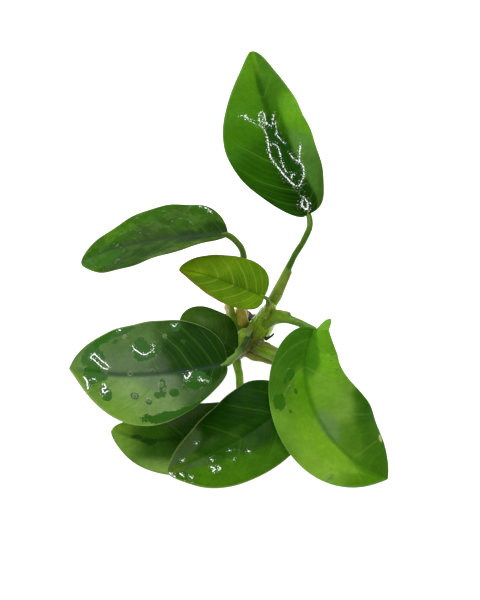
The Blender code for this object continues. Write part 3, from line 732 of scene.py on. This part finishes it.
# both faces of the blade: the surface lifted by half the thickness, swollen between the side veins,
# grooved along the midrib above and ribbed along it below, thin at the edge
def buildBlade(name, leaf, slot, seed):
    rows, wide = leaf["grid"]
    x = np.linspace(-1, 1, wide + 1)
    out = np.sign(x) * (1 - (1 - np.abs(x)) ** 1.25)
    loop = np.concatenate([out, out[-2:0:-1]])
    isUnder = np.concatenate([np.zeros(wide + 1), np.ones(wide - 1)])
    isUnder[[0, wide]] = 0.5
    along, across = np.meshgrid(np.linspace(0, 1, rows + 1), loop, indexing="ij")
    under = np.broadcast_to(isUnder, along.shape)
    points, normal, share, ribMm, widthMm, length = leafSurface(leaf, along, across)
    s = np.abs(across)
    ends = soft(np.sin(along * math.pi), 0, 0.22)
    body = np.sqrt(np.clip(1 - s ** 10, 0, 1)) * np.sqrt(ends)
    veins = leaf["look"]["veins"]
    swell = 0.5 - 0.5 * np.cos(2 * math.pi * (along * veins + 0.5))
    wave = leaf["ripple"] * s ** 2 * np.sin(2 * math.pi * leaf["ripples"] * share + seed + across)
    both = wave + blade["sag"] * lumps(points, 14.0, seed) + blade["dimple"] * lumps(points, 5.0, seed + 1)
    relief = blade["quilt"] * swell * np.sqrt(s) * (1 - s ** 2)
    relief = relief - blade["groove"] * np.exp(-(ribMm / blade["grooveWide"]) ** 2)
    ribUnder = blade["rib"] * np.exp(-(ribMm / blade["ribWide"]) ** 2) * (1 - 0.85 * share)
    topLift = blade["thick"] / 2 * body + relief * (1 - share) ** 0.4
    lowLift = -blade["thick"] / 2 * body - ribUnder * np.sqrt(ends)
    lift = np.where(under > 0.75, lowLift, np.where(under < 0.25, topLift, 0.0)) + both
    points = points + normal * (lift * ends)[..., None]
    uv = np.stack([np.concatenate([across, across[:, :1]], 1) * 0.5 + 0.5,
                   np.concatenate([along, along[:, :1]], 1)], -1)
    mat = bladeMaterial(name + "_finish", leaf["look"])
    laid = share, across, widthMm, length
    upper = under < 0.75
    makePiece(name + "_blade", points, mat, "leaf_" + name, slot, uv,
              tone=blendTones(leaf["tones"], share, across), ribMm=ribMm, rimMm=widthMm * (1 - s),
              wet=wetField(leaf.get("wet", ()), share, across), under=under,
              mark=upper * glintLineField(leaf.get("lines", ()), *laid),
              drop=upper * dropField(leaf.get("drops", ()), *laid))


for seed, (name, leaf, slot) in enumerate(bladeParts):
    buildBlade(name, leaf, slot, seed + 3)
    print("blade", name)


# a rod about a path: each ring lies square to the path, and its radius is the path's own radius x
# the round end caps, plus a wing that swells towards one side: size x (how far the ring faces it)^sharp
def rodPoints(knots, radii, columns=28, step=0.35, wing=None, lump=0.0, seed=1, rings=0.0, ringEvery=1.0):
    route = through([(*k, r) for k, r in zip(knots, radii)], 400)
    share, length = alongPath(route[:, :3])
    rows = max(24, int(length / step))
    # rows crowd towards both ends, so that the caps are round
    t = (1 - np.cos(np.linspace(0, math.pi, rows))) / 2 * 0.35 + np.linspace(0, 1, rows) * 0.65
    line = np.stack([np.interp(t, share, route[:, k]) for k in range(4)], -1)
    path, radius = line[:, :3], line[:, 3]
    ahead = unit(np.gradient(path, t, axis=0))
    bent = np.cross(path[-1] - path[0], path[rows // 2] - path[0])
    if np.linalg.norm(bent) < 0.4:
        bent = np.cross(ahead[rows // 2], (0.0, 0.0, 1.0))
    if np.linalg.norm(bent) < 0.2:
        bent = np.array([1.0, 0.0, 0.0])
    side = unit(np.cross(ahead, bent))
    up = np.cross(side, ahead)
    angle = np.linspace(0, 2 * math.pi, columns, endpoint=False)
    facing = side[:, None] * np.cos(angle)[:, None] + up[:, None] * np.sin(angle)[:, None]
    first, last = [1 - np.clip(way * length / radius, 0, 1) for way in (t, 1 - t)]
    cap = np.sqrt(1 - first ** 2) * np.sqrt(1 - last ** 2)
    skin = np.broadcast_to(radius[:, None], facing.shape[:2]).copy()
    flare = np.zeros(skin.shape)
    if wing:
        towards = np.array(wing["to"], float)
        towards = unit(towards - (ahead @ towards)[:, None] * ahead)
        part = np.clip((facing * towards[:, None]).sum(-1), 0, 1)
        far = soft(t, wing["from"], wing["from"] + 0.12) * (1 - soft(t, wing["end"] - 0.03, wing["end"]))
        flare = part ** wing.get("sharp", 3) * far[:, None]
        skin += wing["size"] * flare
    if rings:
        skin += rings * (np.abs(np.sin(t * length * math.pi / ringEvery)) ** 0.35 - 0.75)[:, None]
    around = path[:, None] + facing * skin[..., None]
    if lump:
        skin += lump * lumps(around, 2.4, seed) + 0.5 * lump * lumps(around, 1.0, seed + 1)
    points = path[:, None] + facing * (skin * cap[:, None])[..., None]
    return points, np.broadcast_to(t[:, None], skin.shape), flare


# a thin shell bent about a path: across it runs an arc of the cup angle, its half width is a
# smooth curve through the stations, and it thins to nothing at its rim
def sheetPoints(knots, halves, cup, facing, thick=0.35, rows=60, wide=24, ruffle=0.0, seed=1):
    route = through([(*k, h) for k, h in zip(knots, halves)], rows + 1)
    path, half = route[:, :3], np.maximum(route[:, 3], 0)
    t = np.linspace(0, 1, rows + 1)
    ends = np.sqrt(np.clip(1 - (2 * t - 1) ** 8, 0, 1))
    ahead = unit(np.gradient(path, axis=0))
    side = unit(np.cross(ahead, np.array(facing, float)))
    up = np.cross(side, ahead)
    x = np.linspace(-1, 1, wide + 1)
    s = np.concatenate([x, x[-2:0:-1]])
    low = np.concatenate([np.zeros(wide + 1), np.ones(wide - 1)])
    turn = math.radians(cup)
    bend = (half * ends)[:, None] / turn
    arc = s * turn
    p = path[:, None] + side[:, None] * (bend * np.sin(arc))[..., None]
    p = p + up[:, None] * (bend * (np.cos(arc) - 1))[..., None]
    n = side[:, None] * np.sin(arc)[:, None] + up[:, None] * np.cos(arc)[:, None]
    body = np.sqrt(np.clip(1 - s ** 8, 0, 1)) * ends[:, None]
    lift = thick / 2 * body * np.where(low > 0.5, -1.0, 1.0)
    wave = lumps(p, 2.5, seed) + np.abs(s) * np.sin(t * 17 + seed)[:, None] * 0.6
    wave = ruffle * wave * ends[:, None]
    points = p + n * (lift + wave)[..., None]
    return points, np.broadcast_to(t[:, None], lift.shape), np.broadcast_to(np.abs(s), lift.shape)


# tones along a piece: a straight blend between the stops
def toneAlong(stops, t):
    at = [s[0] for s in stops]
    return np.stack([np.interp(t, at, [s[1][k] for s in stops]) for k in range(3)], -1)


# living stem, sheath and rhizome finish: long fine stripes, soft mottling, browned edges
def tissueMaterial(name, look):
    mat, w, shader = newMaterial(name, IOR=1.42, Coat_Roughness=0.09, Coat_IOR=1.36)
    shader.inputs["Specular IOR Level"].default_value = look["gloss"]
    shader.inputs["Coat Weight"].default_value = look["wetness"]
    place = w.place()
    tone = w.attribute("tone", 0)
    edge = w.attribute("edge", 2)
    cloud = w.clouds(place, look["cloud"], 3.0)
    fine = w.clouds(place, 0.8, 3.0, 0.6)
    lines = w.clouds(w.stretched(w.uv(), (3.0, 34.0, 1.0)), 1000.0, 2.0, 0.6)
    shades = tone.times(*look["shade"]), tone.times(1.22, 1.16, 1.2)
    colour = (lines * 0.55 + cloud * 0.45).rise(0.34, 0.66).tint(*shades)
    spots = fine.rise(0.62, 0.74) * look["spots"] * edge.rise(0.1, 0.6)
    colour = spots.tint(colour, rgb(*look["spotTone"]))
    colour = (edge.rise(0.55, 0.95) * (cloud * 0.6 + 0.5)).tint(colour, rgb(*look["edgeTone"]))
    plug(colour, shader, "Base Color")
    plug((look["rough"] + (fine - 0.5) * 0.2 + edge * 0.15).over(0.08), shader, "Roughness")
    bumps = w.bumps((lines, 0.06, 0.5), (cloud, 0.35, look["uneven"]), (fine, 0.08, look["grain"]))
    plug(bumps, shader, "Normal")
    return mat


stemLook = {
    "gloss": 0.1, "wetness": 0.35, "rough": 0.32, "cloud": 2.2, "shade": (0.74, 0.8, 0.66), "spots": 0.25,
    "spotTone": (0.2, 0.3, 0.08), "edgeTone": (0.34, 0.27, 0.1), "uneven": 0.3, "grain": 0.15,
}
barkLook = {
    "gloss": 0.1, "wetness": 0.8, "rough": 0.3, "cloud": 1.8, "shade": (0.66, 0.72, 0.5), "spots": 0.9,
    "spotTone": (0.36, 0.28, 0.1), "edgeTone": (0.15, 0.09, 0.02), "uneven": 0.55, "grain": 0.3,
}
paperLook = {
    "gloss": 0.12, "wetness": 0.3, "rough": 0.36, "cloud": 1.6, "shade": (0.72, 0.68, 0.5), "spots": 0.5,
    "spotTone": (0.28, 0.17, 0.05), "edgeTone": (0.4, 0.28, 0.1), "uneven": 0.5, "grain": 0.4,
}
rootLook = {
    "gloss": 0.15, "wetness": 0.1, "rough": 0.55, "cloud": 1.3, "shade": (0.6, 0.5, 0.36), "spots": 0.6,
    "spotTone": (0.2, 0.12, 0.04), "edgeTone": (0.3, 0.2, 0.08), "uneven": 0.5, "grain": 0.6,
}


# a rod with its tones; edge browns the rim of its wing, and its old half by as much as aged says
def addRod(name, knots, radii, tones, finish, node, slot, aged=0.0, floor=-1e9, **shape):
    points, t, flare = rodPoints(knots, radii, **shape)
    points[..., 2] = np.maximum(points[..., 2], floor)
    makePiece(name, points, finish, node, slot, tone=toneAlong(tones, t),
              edge=flare ** 3 + aged * (1 - soft(t, 0.35, 0.6)))


stemFinish = tissueMaterial("stem_finish", stemLook)
barkFinish = tissueMaterial("rhizome_finish", barkLook)
paperFinish = tissueMaterial("sheath_finish", paperLook)
rootFinish = tissueMaterial("root_finish", rootLook)


# stems run from the crown to the foot of the blade; wings are what is left of their sheaths
stems = {
    "top": {
        "knots": [(28.5, 10, 34), (31, 15.8, 40), (33.4, 19.2, 46), (36.4, 24.4, 50), (39.5, 29.5, 54),
            (42.6, 33.8, 57), (45, 38.4, 59), (45.3, 41.8, 59.3), (44.9, 44.0, 59.5), (44.0, 46.5, 60.6)],
        "radii": (2.3, 2.1, 1.8, 1.4, 1.25, 1.2, 1.2, 1.2, 1.1, 0.6),
        "wing": {"to": (0.9, -0.4, 0.3), "from": 0.1, "end": 0.49, "size": 0.9, "sharp": 5},
        "tones": [(0, (0.24, 0.38, 0.02)), (0.25, (0.22, 0.34, 0.03)), (0.47, (0.17, 0.28, 0.03)),
            (0.5, (0.055, 0.15, 0.004)), (0.8, (0.06, 0.16, 0.003)), (0.93, (0.1, 0.22, 0.01)),
            (1, (0.12, 0.25, 0.01))]},
    "upper_left": {
        "knots": [(20, 4.5, 31), (16.6, 8.6, 33.2), (14.6, 12.8, 37), (16, 20, 43), (19.2, 28.5, 49),
            (18.8, 32, 53), (16.4, 34.6, 55.6), (13.4, 36.6, 56.8), (10.4, 36.6, 57.6)],
        "radii": (1.9, 1.5, 1.15, 1.1, 1.3, 1.3, 1.3, 1.25, 0.6),
        # the lower tones are painted lighter to offset the young leaf's shadow
        "tones": [(0, (0.16, 0.26, 0.02)), (0.3, (0.2, 0.42, 0.012)), (0.5, (0.1, 0.22, 0.01)),
            (0.7, (0.075, 0.17, 0.008)), (0.85, (0.09, 0.18, 0.012)), (1, (0.07, 0.15, 0.01))]},
    "young": {
        "knots": [(28.9, 11.8, 41.5), (29, 13.2, 46), (28.3, 13.4, 48.5), (27.3, 13.5, 49.8),
            (25.6, 14.1, 50.2)],
        "radii": (1.1, 0.9, 0.8, 0.75, 0.4), "tones": [(0, (0.12, 0.23, 0.01)), (1, (0.14, 0.25, 0.01))]},
    "small": {
        "knots": [(20, 0.5, 29.5), (18.4, -2.4, 34.4), (17.1, -3.5, 36.6), (15.6, -3.4, 37.6)],
        "radii": (1.2, 0.9, 0.75, 0.4), "tones": [(0, (0.07, 0.16, 0.01)), (1, (0.03, 0.09, 0.003))]},
    "left": {
        "knots": [(22, 4, 31), (21.2, 0.6, 36.5), (18.8, -5, 40.5), (15.3, -9.6, 43.6), (12.8, -12.2, 44.8),
            (10.2, -13.4, 45.2)],
        "radii": (1.6, 1.2, 1.1, 1.3, 1.25, 0.45),
        "wing": {"to": (-0.7, 0.5, 0.5), "from": 0.08, "end": 0.66, "size": 0.7, "sharp": 6},
        "tones": [(0, (0.09, 0.15, 0.03)), (0.3, (0.045, 0.1, 0.02)), (0.5, (0.03, 0.085, 0.01)),
            (0.7, (0.13, 0.26, 0.04)), (1, (0.13, 0.27, 0.03))]},
    "lower_left": {
        "knots": [(16, -2, 28.5), (16.4, -7, 27), (17.4, -11, 24.6), (17.6, -15.9, 21.2),
            (18.6, -19.6, 19.4), (20.2, -22.2, 19.4), (19.4, -24.4, 19.9)],
        "radii": (1.9, 1.35, 1.15, 1.1, 1.05, 1.0, 0.5),
        "wing": {"to": (1, 0.1, 0.3), "from": 0.05, "end": 0.6, "size": 0.9, "sharp": 5},
        "tones": [(0, (0.26, 0.4, 0.05)), (0.4, (0.28, 0.5, 0.05)), (1, (0.12, 0.3, 0.01))]},
    "bottom": {
        "knots": [(21, 1, 29.5), (26.6, -2.2, 31), (31.8, -5.6, 34), (37.7, -11.8, 35), (40, -17.2, 34.9),
            (39.3, -20.8, 34.3), (37.2, -23.0, 35)],
        "radii": (2.5, 2.6, 2.3, 1.8, 1.5, 1.3, 0.6),
        "wing": {"to": (0.4, 0.8, 0.4), "from": 0.1, "end": 0.52, "size": 1.1, "sharp": 4},
        "tones": [(0, (0.11, 0.18, 0.01)), (0.3, (0.17, 0.3, 0.014)), (0.5, (0.16, 0.29, 0.012)),
            (1, (0.07, 0.18, 0.004))]},
    "right": {
        "knots": [(26, 7, 33), (31, 8.2, 38.5), (35.3, 7, 43), (39.9, 5, 45), (43.7, 2.8, 46),
            (46.8, 0.8, 47.0), (46.4, -1.6, 47.4)],
        "radii": (2.8, 2.5, 1.95, 1.6, 1.45, 1.25, 0.6),
        "wing": {"to": (0, 0.8, 0.6), "from": 0.12, "end": 0.56, "size": 1.3, "sharp": 4},
        "tones": [(0, (0.17, 0.32, 0.01)), (0.35, (0.17, 0.3, 0.014)), (0.6, (0.12, 0.26, 0.015)),
            (1, (0.09, 0.21, 0.008))]},
}

for seed, (name, stem) in enumerate(stems.items()):
    addRod(name + "_stalk", stem["knots"], stem["radii"], stem["tones"], stemFinish, "stem_" + name, "stem",
           wing=stem.get("wing"), lump=0.07, seed=40 + seed)
print("stems", len(stems))


# the creeping stem, from its old end to its growing tip
rhizome = {
    "knots": [(13.0, -4.5, 28.5), (15.0, -2.5, 28.8), (19.0, 0.5, 29.4), (23.0, 4.0, 30.2),
        (27.0, 8.0, 32.5), (29.0, 10.8, 36.0), (29.7, 12.3, 40.5), (29.4, 12.8, 43.5)],
    "radii": (2.6, 4.0, 4.4, 4.6, 4.8, 4.1, 2.5, 1.4),
    # the light tones from the middle to the tip are partly painted highlight, raised toward the crown's
    # glints
    "tones": [(0, (0.2, 0.14, 0.03)), (0.2, (0.19, 0.2, 0.02)), (0.4, (0.2, 0.25, 0.016)),
        (0.52, (0.27, 0.43, 0.02)), (0.7, (0.34, 0.6, 0.018)), (1, (0.3, 0.52, 0.03))],
}
addRod("rhizome_skin", rhizome["knots"], rhizome["radii"], rhizome["tones"], barkFinish, "rhizome",
       "rhizome", aged=0.8, columns=72, step=0.22, lump=0.35, seed=9, rings=0.28, ringEvery=2.6)

# short rods: buds, scars, stubs of old stems
knobs = {
    "bud": {
        "knots": [(21.0, 4.5, 35.0), (19.2, 2.4, 36.4), (17.6, -0.6, 35.8), (17.0, -3.4, 34.6)],
        "radii": (2.2, 2.1, 1.7, 0.9), "tones": [(0, (0.26, 0.42, 0.03)), (1, (0.3, 0.54, 0.03))],
        "finish": stemFinish},
    "stub": {
        "knots": [(28.0, 2.0, 32.0), (30.2, 2.6, 34.0), (31.6, 3.6, 35.2)], "radii": (0.9, 0.45, 0.3),
        "tones": [(0, (0.05, 0.07, 0.01)), (1, (0.006, 0.02, 0.002))], "finish": barkFinish},
    "knob": {
        "knots": [(24.5, 1.2, 31.5), (26.6, 0.2, 33.2), (28.0, -0.2, 33.4)], "radii": (1.9, 1.6, 0.9),
        "tones": [(0, (0.11, 0.13, 0.012)), (1, (0.22, 0.21, 0.07))], "finish": barkFinish},
    "scar": {
        "knots": [(22.5, -0.5, 31.0), (24.2, -2.6, 31.4), (26.2, -4.0, 31.0)], "radii": (1.7, 1.3, 0.8),
        "tones": [(0, (0.1, 0.14, 0.012)), (1, (0.16, 0.17, 0.04))], "finish": barkFinish},
    "old_base": {
        "knots": [(19.5, 7.0, 31.5), (18.6, 10.2, 33.4), (18.4, 13.0, 34.4), (18.6, 15.6, 34.6)],
        "radii": (2.6, 2.7, 2.4, 1.4),
        # tones painted lighter to offset the young leaf's shadow
        "tones": [(0, (0.36, 0.28, 0.03)), (0.5, (0.66, 0.55, 0.1)), (1, (0.72, 0.58, 0.14))],
        "finish": paperFinish},
}
for seed, (name, knob) in enumerate(knobs.items()):
    addRod(name, knob["knots"], knob["radii"], knob["tones"], knob["finish"], None, "rhizome",
           columns=32, step=0.2, lump=0.18, seed=60 + seed)

# papery sheaths that wrap the feet of the stems; their tones are painted lighter to offset the shade between
# the leaves
sheaths = {
    "tip_sheath": {
        "knots": [(27.8, 7.6, 40.2), (28.6, 9.6, 42.0), (29.4, 11.4, 43.6), (29.8, 13.0, 45.0)],
        "halves": (1.4, 2.1, 1.9, 0.9), "cup": 85, "facing": (0.0, -0.5, 0.85),
        "tones": [(0, (0.3, 0.5, 0.03)), (0.6, (0.28, 0.44, 0.04)), (1, (0.4, 0.32, 0.14))]},
    "grey_sheath": {
        "knots": [(19.2, -0.6, 36.4), (20.4, 1.6, 37.6), (21.6, 4.0, 38.0), (22.8, 6.4, 37.6)],
        "halves": (0.9, 1.5, 1.6, 0.7), "cup": 70, "facing": (-0.3, -0.4, 0.9),
        "tones": [(0, (0.3, 0.4, 0.13)), (0.6, (0.32, 0.42, 0.14)), (1, (0.26, 0.38, 0.06))]},
    "beige_sheath": {
        "knots": [(14.0, 9.6, 33.0), (12.6, 12.4, 36.6), (12.3, 14.8, 38.2), (12.6, 17.6, 39.4)],
        "halves": (1.0, 1.8, 1.6, 0.5), "cup": 60, "facing": (-0.7, -0.2, 0.7),
        "tones": [(0, (0.85, 0.55, 0.18)), (0.5, (1.0, 0.9, 0.52)), (1, (0.95, 0.8, 0.42))]},
    "old_sheath": {
        "knots": [(18.6, -2.4, 29.6), (22.6, -4.6, 30.2), (27.6, -6.0, 31.0), (33.6, -8.6, 32.2)],
        "halves": (1.2, 2.2, 2.5, 1.2), "cup": 75, "facing": (0.1, -0.6, 0.8),
        "tones": [(0, (0.5, 0.44, 0.14)), (0.35, (0.28, 0.3, 0.05)), (0.7, (0.22, 0.24, 0.03)),
            (1, (0.34, 0.3, 0.08))]},
    "foot_sheath": {
        "knots": [(24.0, 1.6, 33.0), (28.6, -0.8, 34.6), (32.4, -4.0, 36.2), (35.4, -7.6, 37.0)],
        "halves": (1.3, 1.9, 1.5, 0.5), "cup": 70, "facing": (0.3, 0.2, 0.9),
        "tones": [(0, (0.17, 0.24, 0.03)), (0.5, (0.19, 0.28, 0.03)), (1, (0.28, 0.24, 0.09))]},
}
for seed, (name, sheath) in enumerate(sheaths.items()):
    points, t, s = sheetPoints(sheath["knots"], sheath["halves"], sheath["cup"], sheath["facing"],
                               ruffle=0.22, seed=80 + seed)
    makePiece(name, points, paperFinish, None, "rhizome", tone=toneAlong(sheath["tones"], t),
              edge=soft(s, 0.75, 1.0))
print("rhizome, buds and sheaths")


# two rounded lobes about one middle, cut flat underneath
stone = {
    "middle": (0.0, 0.0, 10.0),
    "lobes": [{"middle": (-9.0, -3.0, 9.0), "half": (17.5, 13.0, 14.0), "turn": 0.0},
        {"middle": (10.0, 7.0, 10.0), "half": (18.0, 7.5, 14.0), "turn": 38.0}],
    "power": 3.0, "grid": (190, 300), "rough": 0.55, "pits": 0.9,
}


# how far a direction runs from the stone's middle to its skin, the furthest of the lobes, where a
# lobe's skin is |x/a|^p + |y/b|^p + |z/c|^p = 1 in its own turned axes, found by halving
def stoneReach(directions):
    best = np.zeros(directions.shape[:-1])
    for lobe in stone["lobes"]:
        turn = math.radians(lobe["turn"])
        offset = np.array(stone["middle"]) - np.array(lobe["middle"])
        low, high = np.zeros(best.shape), np.full(best.shape, 60.0)
        for _ in range(26):
            reach = (low + high) / 2
            p = offset + directions * reach[..., None]
            x = p[..., 0] * math.cos(turn) + p[..., 1] * math.sin(turn)
            y = p[..., 1] * math.cos(turn) - p[..., 0] * math.sin(turn)
            q = np.stack([x, y, p[..., 2]], -1) / np.array(lobe["half"])
            inside = (np.abs(q) ** stone["power"]).sum(-1) < 1
            low, high = np.where(inside, reach, low), np.where(inside, high, reach)
        best = np.maximum(best, low)
    return best


# dark crust with rusty, mossy and pale grains, darkest in the pits
def stoneMaterial():
    mat, w, shader = newMaterial("lava_rock", IOR=1.5)
    shader.inputs["Specular IOR Level"].default_value = 0.35
    place = w.place()
    pitDepth = w.attribute("pit", 2)
    cloud = w.clouds(place, 8.0, 4.0)
    grain = w.clouds(place, 0.7, 4.0, 0.7)
    rust = w.clouds(place, 5.0, 3.0).rise(0.54, 0.68)
    crumb = w.cells(place, "F1", 1400.0)
    colour = grain.rise(0.3, 0.7).tint(rgb(0.006, 0.006, 0.007), rgb(0.032, 0.030, 0.030))
    colour = cloud.rise(0.4, 0.7).tint(colour, rgb(0.022, 0.017, 0.014))
    colour = (rust * 0.75).tint(colour, rgb(0.085, 0.036, 0.012))
    colour = (w.clouds(place, 6.5, 3.0, 0.6).rise(0.58, 0.72) * 0.6).tint(colour, rgb(0.022, 0.045, 0.010))
    colour = (pitDepth.rise(0.3, 1.0) * 0.8).tint(colour, rgb(0.004, 0.004, 0.004))
    colour = (grain.rise(0.66, 0.74) * 0.4).tint(colour, rgb(0.14, 0.13, 0.12))
    plug(colour, shader, "Base Color")
    plug(0.55 + grain * 0.3, shader, "Roughness")
    plug(w.bumps((grain, 0.35, 0.8), (crumb, 0.25, 0.6)), shader, "Normal")
    return mat


# the stone is that reach, roughened by lumps of three sizes and eaten into by pits, cut flat at z = 0
def buildStone():
    rows, columns = stone["grid"]
    down = np.linspace(0, math.pi, rows + 1)
    around = np.linspace(0, 2 * math.pi, columns, endpoint=False)
    phi, theta = np.meshgrid(down, around, indexing="ij")
    d = np.stack([np.sin(phi) * np.cos(theta), np.sin(phi) * np.sin(theta), np.cos(phi)], -1)
    reach = stoneReach(d)
    p = d * reach[..., None]
    pit = soft(lumps(p, 2.3, 5), 0.15, 0.75) + 0.6 * soft(lumps(p, 1.2, 6), 0.2, 0.8)
    lumpy = lumps(p, 7.0, 1) + 0.6 * lumps(p, 3.2, 2) + 0.4 * lumps(p, 1.3, 3)
    reach = reach - 0.35 + stone["rough"] * lumpy - stone["pits"] * pit
    toFloor = np.where(d[..., 2] < -0.02, stone["middle"][2] / np.maximum(-d[..., 2], 0.02), 1e9)
    points = np.array(stone["middle"]) + d * np.minimum(reach, toFloor)[..., None]
    points[..., 2] = np.maximum(points[..., 2], 0.0)
    makePiece("stone_skin", points, stoneMaterial(), "stone", "stone", pit=pit)


buildStone()
print("stone")


# a root's path: a straight run with a sideways wander, moved in to the stone's skin past its start
def rootPath(start, end, lift, wander, seed, count=14):
    t = np.linspace(0, 1, count)[:, None]
    start, end = np.array(start, float), np.array(end, float)
    run = start + (end - start) * t
    sway = np.stack([lumps(run, 6.0, seed + k) for k in range(3)], -1)
    run = run + wander * np.sin(t * math.pi) * sway
    middle = np.array(stone["middle"])
    d = unit(run - middle)
    laid = middle + d * (stoneReach(d)[:, None] + lift)
    return run + (laid - run) * soft(t, 0.0, 0.22)


# main roots, from under the rhizome to their ends on the stone
roots = {
    "back": {"start": (18.5, 3.5, 27.5), "end": (7, 22, 9)},
    "back_right": {"start": (24.5, 7.5, 29), "end": (26, 24, 8)},
    "front": {"start": (19, 0, 27.2), "end": (14, -8, 6)},
    "left": {"start": (16, 0, 27.6), "end": (-12, 18, 12)},
    "front_left": {"start": (15.2, -2.8, 27.2), "end": (-14, -22, 7)},
    "right": {"start": (23.5, 3.5, 28), "end": (27, 2, 7)},
}
rootTones = [(0, (0.22, 0.2, 0.08)), (0.15, (0.45, 0.36, 0.18)), (0.8, (0.5, 0.4, 0.21)),
    (1, (0.66, 0.58, 0.36))]
for seed, (name, root) in enumerate(roots.items()):
    path = rootPath(root["start"], root["end"], 0.45, 1.2, 100 + seed)
    radii = np.linspace(0.85, 0.42, len(path))
    addRod(name + "_root", path, radii, rootTones, rootFinish, "root_" + name, "root",
           columns=16, step=0.3, lump=0.14, seed=120 + seed)

# thin rootlets that spread over the stone from under the rhizome
rootlets = {"count": 18, "radius": 0.34}
dice = np.random.default_rng(12)
for k in range(rootlets["count"]):
    turn = 2 * math.pi * (k + dice.uniform(-0.3, 0.3)) / rootlets["count"]
    begin = dice.uniform(0.05, 0.45)
    start = (13.0 + 12.0 * begin, -4.0 + 11.0 * begin, 27.0)
    end = (24 * math.cos(turn), 20 * math.sin(turn), dice.uniform(3.0, 13.0))
    path = rootPath(start, end, 0.12, 3.0, 200 + 5 * k, count=20)
    radii = np.linspace(rootlets["radius"], rootlets["radius"] * 0.45, len(path))
    addRod("rootlet_" + str(k + 1), path, radii, rootTones, rootFinish, None, "root",
           floor=0.15, columns=10, lump=0.06, seed=300 + k)
print("roots")
